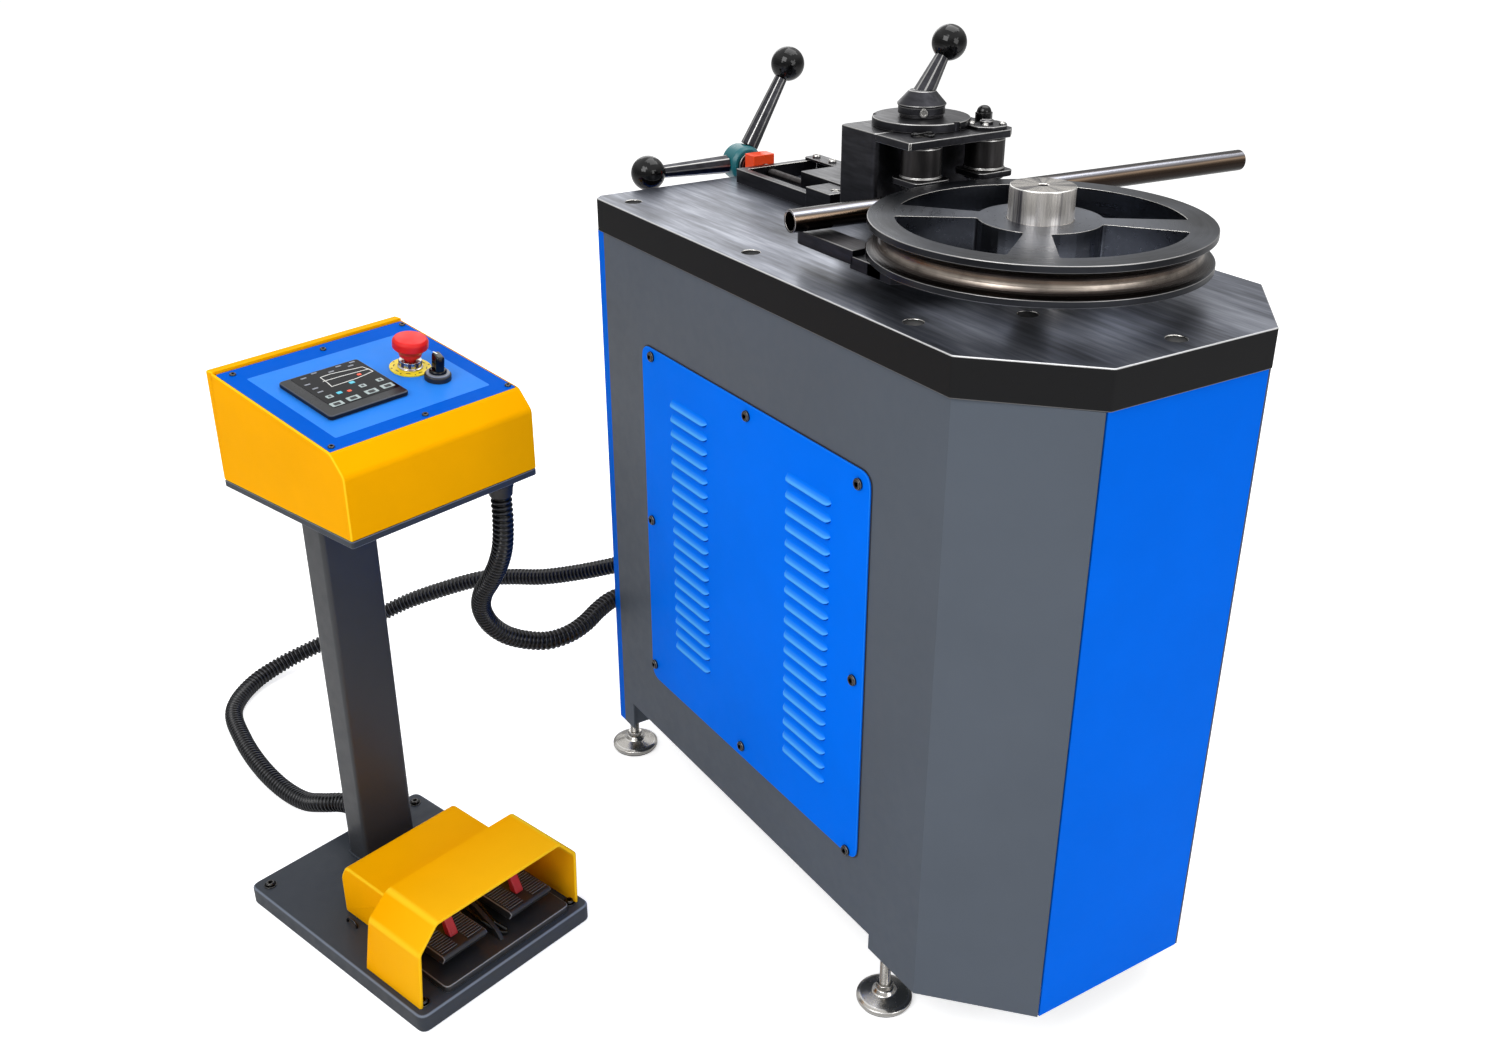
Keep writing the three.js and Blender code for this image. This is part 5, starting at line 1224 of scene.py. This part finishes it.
# %% Clamp
DISC_X, DISC_Y, DISC_RADIUS, DISC_TOP = -83, 55, 67, CARRIAGE_TOP + 12
disc_bottom = CARRIAGE_TOP + GAP
disc_profile = [(0, disc_bottom), (DISC_RADIUS, disc_bottom), (DISC_RADIUS, DISC_TOP), (0, DISC_TOP)]
disc = turned(disc_profile, 128, 1.4).at(DISC_X, DISC_Y)
disc = piece("notched_disc", disc, machine, black_steel, "lock_disc")
for degrees in (-133, 8, 128):
    angle = math.radians(degrees)
    notch_at = (DISC_X + DISC_RADIUS * math.cos(angle), DISC_Y + DISC_RADIUS * math.sin(angle))
    cut_away(disc, rod(6, CARRIAGE_TOP - 5, DISC_TOP + 5, 24).at(*notch_at), machine)
ease_edges(disc, 0.7, bright_edge)


def handle(start, end, radius0, radius1):
    """An eight-sided bar whose width runs evenly from one radius to the other, with softened corners."""
    rows = 6
    t = np.linspace(0, 1, rows)
    section, wear_and_painted_light = eased(circle(1.0, 8), 0.12, 2, closed=True)
    sizes = (radius0 + (radius1 - radius0) * t)[:, None, None] * section
    path = np.stack([np.zeros(rows), np.zeros(rows), start + (end - start) * t], 1)
    return swept(path, sizes, (0, 1, 0), np.tile(wear_and_painted_light, rows))


def ball(radius, flat, sides=64, rows=24):
    """A sphere with a flat where it is screwed on: angle from the flat's edge to the pole."""
    angle = np.linspace(math.acos(flat / radius), math.pi, rows)
    profile = [(0, -flat)] + [(radius * math.sin(a), -radius * math.cos(a)) for a in angle]
    profile[-1] = (0, radius)
    return turned(profile, sides, 0.05)


LEVER_START, LEVER_RISE, BALL = Vector((0, 0, 26)), Vector((-8, 49, 65)), 24
hub_axes = moved(machine, DISC_X, DISC_Y, DISC_TOP + GAP)
HUB_SIDE = 32
hub_profile = [(0, 0), (30, 0), (30, 3), (HUB_SIDE, 4), (HUB_SIDE, 14), (34, 16.5), (18, 34), (12, 35),
               (0, 35)]
lever_axes = pointing(hub_axes, LEVER_START, LEVER_RISE)
lever = handle(0, LEVER_RISE.length - BALL + 1, 15.5, 10).placed(hub_axes.inverted() @ lever_axes)
piece("forged_lever", turned(hub_profile, 96, 1.2) + lever, hub_axes, black_steel, "clamp_lever")
knob_axes = pointing(hub_axes, LEVER_START + LEVER_RISE, LEVER_RISE)
piece("lever_ball", ball(BALL, BALL - 1.6), knob_axes, ball_plastic, "clamp_lever_knob")
set_screw = turned([(0, 0), (5.5, 0), (5.5, 1.2), (3.2, 1.2), (3.2, 0.2), (0, 0.2)], 24, 0.3)
SET_X, SET_Y, SET_HEIGHT = 0.84, -0.54, 8
set_screw_axes = pointing(hub_axes, (HUB_SIDE * SET_X, HUB_SIDE * SET_Y, SET_HEIGHT), (SET_X, SET_Y, 0))
piece("hub_set_screw", set_screw, set_screw_axes, plain_steel, "clamp_lever", hides=False)

NUT_AT = (-45, 134)
nut = turned([(0, 0), (15, 0), (15, 4), (0, 4)], 48, 0.8) + hexagon(12, 4, 15)
nut = nut + turned([(0, 14), (10, 14), (10, 17), (8, 21), (4.5, 23.4), (0, 24)], 48, 1.5)
piece("domed_nut", nut.at(*NUT_AT, CARRIAGE_TOP + GAP), machine, ball_plastic, "pin_nut")
bolt_at = [(DISC_X - 34, DISC_Y + 26)]
screws("disc_bolt", "lock_disc", (9, 9, 4), bolt_at, DISC_TOP, machine, plain_steel)

# %% [markdown]
# ## Capstan
# Three arms turn a screw that feeds the carriage. The hub is teal; an orange block takes the thrust.
# The arms are the same forging at three angles, so one loop makes them.

# %% Capstan
HUB_REAR, HUB_FRONT, ARM_X = -548, -504, -526
BOSS_RADIUS = 29
SCREW_PITCH, SCREW_RADIUS = 4.0, 7
screw = thread(SCREW_RADIUS, HUB_REAR + 8, -240, SCREW_PITCH, 0.9, 28)
screw_axes = machine @ Matrix.Translation((0, SCREW_Y, SCREW_Z)) @ along_x
collar = rod(11, -455, -451, 40, 0.6)
piece("threaded_screw", screw + collar, screw_axes, dark_barrel, "feed_screw")
boss_profile = [(0, HUB_REAR), (18, HUB_REAR), (BOSS_RADIUS, HUB_REAR + 8), (BOSS_RADIUS, HUB_FRONT - 6),
                (24, HUB_FRONT), (0, HUB_FRONT)]
piece("capstan_boss", turned(boss_profile, 72, 1.5), screw_axes, teal_plastic, "capstan_hub")
cap_profile = [(0, HUB_FRONT), (20, HUB_FRONT), (20, HUB_FRONT + 5), (15, HUB_FRONT + 7), (0, HUB_FRONT + 7)]
piece("capstan_cap", turned(cap_profile, 48, 1.0), screw_axes, black_steel, "capstan_hub", hides=False)

ARMS, ARM_TILT, ARM_REACH, ARM_BALL = 3, 59, 172, 27
for number in range(ARMS):
    angle = math.radians(ARM_TILT + 360 / ARMS * number)
    out = (0, math.cos(angle), math.sin(angle))
    arm_axes = pointing(machine, (ARM_X, SCREW_Y, SCREW_Z), out)
    arm = handle(29.5, ARM_REACH - ARM_BALL + 2, 15, 10.5)
    piece(f"capstan_rod_{number + 1}", arm, arm_axes, black_steel, f"capstan_arm_{number + 1}")
    knob_axes = arm_axes @ Matrix.Translation((0, 0, ARM_REACH + 1))
    knob = ball(ARM_BALL, ARM_BALL - 1.8)
    piece(f"capstan_ball_{number + 1}", knob, knob_axes, ball_plastic, f"capstan_knob_{number + 1}")

thrust = slab(-484, -457, SCREW_Y - 20, SCREW_Y + 20, TABLE_TOP + GAP, TABLE_TOP + 36, 1.5, 3)
thrust = piece("thrust_body", thrust, machine, orange_plastic, "thrust_block")
cut_away(thrust, bore_along_x(8, -500, 60, 32), machine)
ease_edges(thrust, 0.6)
print("arms:", ARMS)

# %% [markdown]
# ## Console
# A heavy base plate, a square column welded to it and a folded box. The column's weld is a bead that swells
# and shrinks as it was laid. The box's top slopes, and a recess in it takes the panel.

# %% Base, column and box
BASE_TOP = 30
base = slab(-214, 214, -159, 159, 0, BASE_TOP, 3.4, 14)
piece("console_plate", base, console, slate_paint, "console_base")
washer = turned([(0, 0), (9.5, 0), (9.5, 1.6), (0, 1.6)], 32, 0.5)
bolt = washer + socket_screw(6.5, 4.4, 3).at(z=1.4)
bolts = [bolt.at(u, v, BASE_TOP) for u in (-190, 190) for v in (-138, 138)]
piece("base_screws", together(bolts), console, matt_steel, "console_base", hides=False)
column = slab(-165, -115, -10, 82, BASE_TOP + GAP, BOX_BOTTOM - FLOOR_PLATE - GAP, 0.6, 7)
piece("console_post", column, console, column_paint, "console_column")


def weld_bead(outline, z, radius):
    """A bead round an outline: a circle whose radius swells and shrinks a little every six millimetres."""
    loop = np.vstack([outline, outline[:1]])
    path = smooth_path(np.c_[loop, np.full(len(loop), z)], 1.5)[0]
    swell = radius * (1 + 0.18 * np.cos(np.arange(len(path)) * 1.5))
    return swept(path, swell[:, None, None] * circle(1.0, 10), (0, 0, 1))


foot_line = rounded(rectangle(-165.5, -114.5, -10.5, 82.5), 7)
weld = weld_bead(foot_line, BASE_TOP + 1, 2.6)
piece("column_weld", weld, console, slate_paint, "console_column", hides=False)
staple_points = [(-30, -108, 28), (-30, -108, 34), (-26, -108, 38), (-12, -108, 38), (-8, -108, 34),
                 (-8, -108, 28)]
staple = swept(smooth_path(staple_points, 1.5)[0], circle(2.0, 12), (0, 1, 0))
piece("base_staple", staple, console, black_steel, "console_base", hides=False)
box_floor = slab(BOX_REAR, BOX_FRONT, BOX_LEFT, BOX_RIGHT, BOX_BOTTOM - FLOOR_PLATE, BOX_BOTTOM - GAP, 1.2, 4)
piece("box_floor", box_floor, console, slate_paint, "console_floor")

side_outline = [(BOX_REAR, BOX_BOTTOM), (BOX_FRONT, BOX_BOTTOM), (BOX_FRONT, FACE_TOP), SLOPE_FRONT,
                SLOPE_REAR, (SLOPE_REAR[0], BOX_TOP), (BOX_REAR, BOX_TOP)]
soft_outline = rounded(side_outline, [3, 3, 6, 5, 0.4, 2, 3], 5)
box = plate(soft_outline, -BOX_RIGHT, -BOX_LEFT, 2.6, 4).placed(upright)
box = piece("folded_box", box, console, yellow_paint, "control_box")
HALF_DEPTH, HALF_WIDTH = SLOPE_LENGTH / 2 - 3, (BOX_RIGHT - BOX_LEFT) / 2 - 4
recess = slab(-HALF_DEPTH - 2.6, HALF_DEPTH + 1.0, -HALF_WIDTH - 1.2, HALF_WIDTH + 1.2, -4.3, 12, 0)
cut_away(box, recess, panel)

# %% [markdown]
# ## Control panel
# A plate with six screws, and on it a paler printed film and the frame of the screen. All of it is drawn
# flat, in the panel's own axes, and the panel's matrix tilts it.

# %% Panel, film and screen frame
panel_plate = slab(-HALF_DEPTH, HALF_DEPTH, -HALF_WIDTH, HALF_WIDTH, -4, 0, 0.8, 3)
piece("panel_plate", panel_plate, panel, panel_paint, "control_panel")
film = slab(-97, 106, -129, 129, -0.5, 0.35, 0.2, 3)
piece("panel_film", film, panel, pale_blue_paint, "control_panel", hides=False)
screw_spots = [(-118, -137), (-115, 6), (-119, 148), (122, 148), (123, 2), (122, -147)]
screws("panel_screws", "control_panel", (4.6, 2.6, 1.8), screw_spots, 0, panel, matt_steel, 20)

SCREEN_AT, SCREEN_HALF = (7, -45), (60, 64)
bezel = slab(-SCREEN_HALF[0], SCREEN_HALF[0], -SCREEN_HALF[1], SCREEN_HALF[1], GAP, 8, 2.0, 6)
piece("screen_bezel", bezel.at(*SCREEN_AT), panel, dark_plastic, "touch_screen")

# %% [markdown]
# ## Picture on the screen
# The screen is dark glass with a generic picture: a few pale lines, keys along the edges and some small
# coloured ones. Each mark is a thin solid on the glass, so the picture needs no image file.

# %% Picture on the screen
GLASS_TOP = 8.3
glass = slab(-50, 50, -92, 17, 7.6, GLASS_TOP, 0.2, 3)
piece("screen_glass", glass, panel, glass_plastic, "touch_screen", hides=False)


def strip(points, width):
    """A flat line on the glass along a path in the panel's axes."""
    path = np.c_[np.asarray(points, float), np.full(len(points), GLASS_TOP + 0.1)]
    return swept(path, rectangle(-width / 2, width / 2, -0.2, 0.2), (0, 0, 1))


def keys(places, length, width):
    """Small flat blocks on the glass: length along u, width along v."""
    low, high = GLASS_TOP - 0.1, GLASS_TOP + 0.35
    return together([slab(u - length / 2, u + length / 2, v - width / 2, v + width / 2, low, high, 0.1, 1.2)
                     for u, v in places])


curves = [[(-32, -56), (-33, -40), (-29, -12), (-26, 9)], [(-1, -59), (-2, -18), (-5, 2), (-7, 13)],
          [(-20, -60), (-19, -30), (-16, 12)], [(-32, -56), (-14, -57), (-1, -59)],
          [(-26, 9), (-15, 12), (-7, 13)]]
front_keys = [(43, -82), (42, -55), (40, -24), (39, 3)]
small_keys = [(21, -78), (20, -24), (19, 5)]
marks = [(-42, -76), (-47, -56), (-46, -17), (-46, 6), (-24, -82), (3, -80), (-9, -80), (-38, -34), (-38, -2)]
icons = keys([(u + 0.5, v) for u, v in front_keys], 6, 10) + keys(small_keys, 4, 4)
screen_marks = {
    "screen_lines": (together([strip(points, 1.1) for points in curves]), white_mark),
    "screen_keys": (keys(front_keys, 11, 19) + keys(small_keys, 8, 10), key_plastic),
    "screen_icons": (icons.at(z=0.4), dark_plastic),
    "screen_marks": (keys(marks, 3, 9), grey_plastic),
    "screen_cyan_key": (keys([(19, -61), (4, -30)], 6, 8), cyan_plastic),
    "screen_orange_key": (keys([(22, -47), (-10, -8)], 5, 6), orange_plastic),
}
for name, (shape, finish) in screen_marks.items():
    piece(name, shape, panel, finish, "touch_screen", hides=False)
print("marks on the screen:", len(screen_marks))

# %% [markdown]
# ## Stop and selector
# The emergency stop is a red mushroom on a steel post over a yellow disc; the button alone moves when it is
# pressed. The selector is a grip on a round foot, with a white tick that shows where it points.

# %% Stop and selector
STOP_AT, SELECTOR_AT = (1, 71), (49, 82)
STOP_BORE = 8.5


def around_ring(shape, count, first=0.0):
    """A form repeated round the z axis."""
    return together([shape.placed(Matrix.Rotation(first + k * 2 * math.pi / count, 4, "Z"))
                     for k in range(count)])


stop_axes = moved(panel, *STOP_AT)
disc = turned([(STOP_BORE, GAP), (29.5, GAP), (29.5, 2.4), (STOP_BORE, 2.4)], 96, 0.5, closed=True)
piece("stop_disc", disc, stop_axes, yellow_plastic, "stop_collar")
post_profile = [(STOP_BORE, 2.0), (18, 2.0), (18, 4.5), (16, 5.5), (16, 14), (STOP_BORE, 14)]
post = turned(post_profile, 64, 0.6, closed=True)
piece("stop_post", post, stop_axes, stainless, "stop_collar", hides=False)
stripes = around_ring(slab(15.4, 16.5, -2.2, 2.2, 6.4, 13.4, 0.2), 9)
piece("stop_stripes", stripes, stop_axes, navy_plastic, "stop_collar", hides=False)
disc_marks = (around_ring(slab(22.4, 23.6, -3.2, 3.2, 2.3, 2.7, 0.1), 8)
              + around_ring(slab(25.6, 28, -0.8, 0.8, 2.3, 2.7, 0.1), 8, 0.4))
piece("stop_disc_marks", disc_marks, stop_axes, matt_steel, "stop_collar", hides=False)
button = [(0, 8), (8, 8), (8, 19.5), (15.5, 19.5), (17, 26), (22, 31), (25.4, 34), (25.4, 43.5), (22.5, 48),
          (0, 49)]
piece("mushroom_button", turned(button, 96, 1.4), stop_axes, red_plastic, "stop_button")

knob_axes = moved(panel, *SELECTOR_AT)
foot_ring = turned([(0, GAP), (19, GAP), (19, 7.5), (17.5, 9), (0, 9)], 64, 0.8)
piece("selector_foot", foot_ring, knob_axes, matt_plastic, "selector_knob")
ring = turned([(0, 8.5), (16.8, 8.5), (16.8, 10.4), (15.6, 11), (0, 11)], 64, 0.5)
piece("selector_ring", ring, knob_axes, grey_plastic, "selector_knob", hides=False)
barrel = turned([(0, 10.5), (12.5, 10.5), (12.5, 14), (11, 15.5), (0, 15.5)], 64, 1.0)
grip = slab(-11.5, 11.5, -6.5, 6.5, 13, 38, 3.6, 5).placed(Matrix.Rotation(math.radians(-18), 4, "Z"))
piece("selector_grip", barrel + grip, knob_axes, ball_plastic, "selector_knob", hides=False)
tick = slab(-11, -2, -1.1, 1.1, 37.6, 38.3, 0.2)
piece("selector_tick", tick, knob_axes, white_mark, "selector_knob", hides=False)

# %% [markdown]
# ## Foot switch guard
# A folded guard covers the two treadles. Its arch is one bent strip: the fold line is carried round the arch,
# and across it the sheet runs from the rear edge to a front edge that leans forward as it rises. A wall
# closes it behind, and a lower hood reaches back from it.

# %% Guard
ARCH_HALF, ARCH_TOP, ARCH_BEND, ARCH_TOP_HALF, WALL, RIM = 149, 167, 128, 114, 6, 1.6
ARCH_REAR, ARCH_FRONT = (72, 98), (198, 208)
GUARD_FOOT = BASE_TOP + GAP


def arch_corners(inside, lower, top_more):
    """The fold line's corners, moved in by `inside` at the feet, down by `lower` and out by `top_more`."""
    left = [(-ARCH_HALF + inside, GUARD_FOOT), (-ARCH_HALF + inside + 3, ARCH_BEND - lower / 2),
            (-ARCH_TOP_HALF - top_more, ARCH_TOP - lower)]
    return left + [(-v, z) for v, z in left[::-1]]


def leaning(edge, z):
    """How far forward an edge of the arch lies at a height: u = low + (high - low) * share of the height."""
    return edge[0] + (edge[1] - edge[0]) * (z - BASE_TOP) / (ARCH_TOP - BASE_TOP)


def arch():
    """Rows follow the arch from the left foot over the top to the right foot; each row is the sheet's
    section in depth, with its front and rear edges eased by a rim."""
    line, folds = eased(arch_corners(0, 0, 0), 7, 5)
    ahead = np.gradient(line, axis=0)
    ahead /= np.linalg.norm(ahead, axis=1, keepdims=True)
    normal = np.stack([-ahead[:, 1], ahead[:, 0]], 1)
    front, rear = leaning(ARCH_FRONT, line[:, 1]), leaning(ARCH_REAR, line[:, 1])
    depths = [rear + RIM, front - RIM, front, front, front - RIM, rear + RIM, rear, rear]
    inward = [0, 0, RIM, WALL - RIM, WALL, WALL, WALL - RIM, RIM]
    rings = [np.c_[depth, line - normal * step] for depth, step in zip(depths, inward)]
    # The rims and the fold lines get a painted highlight: their number lightens the yellow paint.
    rims = np.tile([0, 0.3, 0.8, 0.8, 0.3, 0, 0, 0], len(line))
    wear_and_painted_light = np.maximum(rims, np.repeat(folds, len(depths)))
    return Form(np.stack(rings, 1), capped_faces(len(line), len(depths)), wear_and_painted_light)


def rear_wall():
    """The wall that closes the arch behind: its outline a little inside the arch, each point carried back to
    the leaning rear edge."""
    line = eased(arch_corners(2, 2, 0.5), 10, 6)[0]
    rear = leaning(ARCH_REAR, line[:, 1])
    rings = np.stack([np.c_[rear + step, line] for step in (0.6, WALL)])
    return Form(rings, capped_faces(2, len(line)))


piece("guard_arch", arch(), console, yellow_paint, "pedal_guard", sharp=50)
piece("guard_rear_wall", rear_wall(), console, yellow_paint, "pedal_guard", hides=False)
HOOD_REAR, HOOD_LEFT, HOOD_RIGHT, HOOD_TOP, HOOD_FRONT = -52, -96, 108, 120, 88
hood_outline = [(HOOD_REAR, GUARD_FOOT), (ARCH_REAR[0] + 3, GUARD_FOOT), (HOOD_FRONT + 3, HOOD_TOP),
                (HOOD_REAR + 14, HOOD_TOP), (HOOD_REAR, HOOD_TOP - 24)]
hood_soft = rounded(hood_outline, [5, 5, 5, 8, 8], 5)
hood = plate(hood_soft, -HOOD_RIGHT, -HOOD_LEFT, 4.0, 5).placed(upright)
piece("guard_hood", hood, console, yellow_paint, "pedal_guard", hides=False)

# %% [markdown]
# ## Treadles
# The treadles stand on a tray. Each has a red flap, which on such a switch has to be tipped before the
# treadle goes down, and short ribs for grip. Each treadle is drawn about its own pivot, and so is each flap.

# %% Tray, treadles and flaps
TRAY_TOP, PIVOT_U, PIVOT_Z, TREADLE, TREADLE_HALF = 42, 106, 62, 78, 39
RIBS, RIB_STEP, RIB_WIDTH = 13, 5.4, 2.8
hands = {"left": -52, "right": 71}
tray = slab(84, 204, -106, 126, BASE_TOP + GAP, TRAY_TOP, 1.6, 9)
piece("switch_tray", tray, console, tread_plastic, "pedal_tray")
divider_outline = [(96, TRAY_TOP - 1), (188, TRAY_TOP - 1), (176, 56), (130, 74), (96, 78)]
divider = plate(divider_outline, -13, -6, 1.2).placed(upright)
posts = [slab(PIVOT_U - 12, PIVOT_U + 10, v - 26, v + 26, TRAY_TOP - 1, PIVOT_Z - 9, 1.2)
         for v in hands.values()]
piece("tray_posts", together([divider, *posts]), console, matt_plastic, "pedal_tray", hides=False)
cable_paths = [[(100, 2, 72), (126, -2, 72), (152, 2, 62), (176, 14, 48), (184, 22, 46)],
               [(100, 16, 70), (130, 18, 68), (158, 16, 58), (180, 24, 47)]]
cables = [swept(smooth_path(points, 3)[0], circle(3.2, 12), (0, 1, 0.01)) for points in cable_paths]
piece("switch_cables", together(cables), console, ball_plastic, "pedal_tray", hides=False)

treadle_outline = [(-10, -6), (TREADLE - 6, -3), (TREADLE, 8), (TREADLE - 4, 12), (-6, 10), (-12, 2)]
ribs = []
for k in range(RIBS):
    u = 2 + k * RIB_STEP
    z = 10.2 + 2 * (u + 6) / (TREADLE + 2)
    ribs += [slab(u, u + RIB_WIDTH, v0, v1, z - 1, z + 1.8, 0.6) for v0, v1 in ((-36, -9), (9, 36))]
treadle = plate(treadle_outline, -TREADLE_HALF, TREADLE_HALF, 1.6, corner=2).placed(upright)
treadle = together([treadle, *ribs])
flap_outline = [(0, 0), (14, 0), (11, 8), (1, 27), (-7, 25), (-3, 11)]
flap = plate(flap_outline, -7, 7, 1.2, corner=1.5).placed(upright)
for hand, v in hands.items():
    place = moved(console, PIVOT_U, v, PIVOT_Z)
    piece(f"{hand}_treadle", treadle, place, tread_plastic, f"{hand}_pedal")
    piece(f"{hand}_flap", flap, moved(place, 38, 0, 12.6), flap_plastic, f"{hand}_latch")
print("treadles:", len(hands), "with", len(ribs), "ribs each")

# %% [markdown]
# ## Glands
# Where a hose enters a housing, a screwed gland grips it: a ribbed nut against the wall and a tapered sleeve
# that keeps the hose from kinking. Each is 26 to 30 millimetres long. On the cabinet one of them is an
# elbow, which turns the hose sideways.

# %% Glands
GLAND_RADIUS, NUT_RIBS = 20, 16


def gland(length):
    """A nut whose outline steps in and out by 1.4 mm, and a sleeve that narrows to the hose."""
    radii = np.where(np.arange(2 * NUT_RIBS) % 2, GLAND_RADIUS, GLAND_RADIUS - 1.4)
    nut = plate(radii[:, None] * circle(1.0, 2 * NUT_RIBS), 0, length * 0.45, 1.0)
    sleeve_profile = [
        (HOSE_RADIUS - 2, length * 0.4), (GLAND_RADIUS - 1, length * 0.4), (HOSE_RADIUS + 2.2, length * 0.6),
        (HOSE_RADIUS + 1, length), (HOSE_RADIUS - 2, length),
    ]
    return nut + turned(sleeve_profile, 40, 1.0, closed=True)


down = Matrix.Rotation(math.pi, 4, "X")
sideways = Matrix.Rotation(math.pi / 2, 4, "X")
rearward = Matrix.Rotation(-math.pi / 2, 4, "Y")
box_gland_at = (*BOX_GLAND, BOX_BOTTOM - FLOOR_PLATE - GAP)
box_gland_axes = console @ Matrix.Translation(box_gland_at) @ down
piece("box_gland", gland(BOX_GLAND_LENGTH), box_gland_axes, matt_plastic, "console_gland")

ELBOW_X, ELBOW_Y, ELBOW_Z = -514, -150, MOUTH[2]
WALL_X = -486.3
back = slab(WALL_X - 5, WALL_X, -184, -26, ELBOW_Z - 34, ELBOW_Z + 30, 1.2)
neck = rod(GLAND_RADIUS, 0, 27.7, 48, 1.0).placed(Matrix.Translation((ELBOW_X, ELBOW_Y, ELBOW_Z)) @ along_x)
knee = ball(GLAND_RADIUS, GLAND_RADIUS - 0.5, 48, 16).at(ELBOW_X, ELBOW_Y, ELBOW_Z)
outlet = gland(27).placed(Matrix.Translation((ELBOW_X, ELBOW_Y + 1, ELBOW_Z)) @ sideways)
straight_at = (STRAIGHT_MOUTH[0] + 30, *STRAIGHT_MOUTH[1:])
straight = gland(30).placed(Matrix.Translation(straight_at) @ rearward)
cabinet_glands = together([back, neck, knee, outlet, straight])
piece("cabinet_glands", cabinet_glands, machine, matt_plastic, "rear_glands")
column_face = console @ Matrix.Translation((COLUMN_REAR + GAP, COLUMN_V, HOSE_Z)) @ rearward
piece("column_gland", gland(30), column_face, matt_plastic, "console_column", hides=False)

# %% [markdown]
# ## Floor
# The object stands on a pale matt floor. The camera sees a little light of the floor's own, so that it comes
# out as pale as a studio sweep without adding light to the machine from below.

# %% Floor
FLOOR_HALF, FLOOR_DROP = 40000, 0.2
floor_corners = [(-1, -1), (1, -1), (1, 1), (-1, 1)]
floor_points = [(x * FLOOR_HALF * MM, y * FLOOR_HALF * MM, -FLOOR_DROP * MM) for x, y in floor_corners]
floor_mesh = bpy.data.meshes.new("floor")
floor_mesh.from_pydata(floor_points, [], [(0, 1, 2, 3)])
floor = bpy.data.objects.new("floor", floor_mesh)
bpy.context.scene.collection.objects.link(floor)
floor_finish = Finish("pale_floor", (0.92, 0.92, 0.92), 0.9)
floor_finish.set(emission_color=(1, 1, 1, 1))
camera_ray = floor_finish.node("ShaderNodeLightPath", output="Is Camera Ray")
floor_finish.set(emission_strength=camera_ray * 0.62)
floor_mesh.materials.append(floor_finish.material)

# %% [markdown]
# ## World and lamps
# The world is white to the camera. In reflections it is a room with dim walls and a bright ceiling, which
# gives steel its contrast, and for everything else it is a level grey, so that colours come out about as
# they are written. Four large lamps stand round the machine, the strongest at the camera's left.

# %% World and lamps
world = bpy.data.worlds.new("studio")
bpy.context.scene.world = world
world.use_nodes = True
sky = world.node_tree.nodes
links = world.node_tree.links
path_node = sky.new("ShaderNodeLightPath")
direction = sky.new("ShaderNodeTexCoord")
height = sky.new("ShaderNodeSeparateXYZ")
links.new(direction.outputs["Generated"], height.inputs[0])
room = sky.new("ShaderNodeValToRGB")
for position, strength in ((0.0, 0.3), (0.3, 0.42), (0.48, 0.78), (0.62, 1.0)):
    element = room.color_ramp.elements.new(position)
    element.color = (strength, strength, strength, 1)
room.color_ramp.elements.remove(room.color_ramp.elements[0])
links.new(height.outputs["Z"], room.inputs[0])
mirrored = sky.new("ShaderNodeMapRange")
mirrored.inputs["To Min"].default_value = 0.44
links.new(room.outputs["Color"], mirrored.inputs["To Max"])
links.new(path_node.outputs["Is Glossy Ray"], mirrored.inputs["Value"])
level = sky.new("ShaderNodeMapRange")
level.inputs["To Max"].default_value = 1.0
links.new(path_node.outputs["Is Camera Ray"], level.inputs["Value"])
links.new(mirrored.outputs[0], level.inputs["To Min"])
links.new(level.outputs[0], sky["Background"].inputs["Strength"])
sky["Background"].inputs["Color"].default_value = (1, 1, 1, 1)


def lamp(name, at, towards, size, power):
    """A square area lamp, placed and aimed in the machine's millimetres."""
    data = bpy.data.lights.new(name, "AREA")
    data.size = size
    data.energy = power
    made = bpy.data.objects.new(name, data)
    made.location = machine @ Vector(at)
    aim = (machine @ Vector(towards)) - made.location
    made.rotation_euler = aim.to_track_quat("-Z", "Y").to_euler()
    bpy.context.scene.collection.objects.link(made)


lamp("key", (1200, -3200, 3600), (0, -200, 500), 2.4, 96)
lamp("side", (4200, 600, 2200), (200, 0, 600), 2.4, 54)
lamp("top", (-600, 1200, 4200), (0, 0, 900), 3.0, 74)
lamp("rear", (-3800, 1500, 2400), (0, 0, 700), 2.4, 25)
print("lamps:", len(bpy.data.lights))
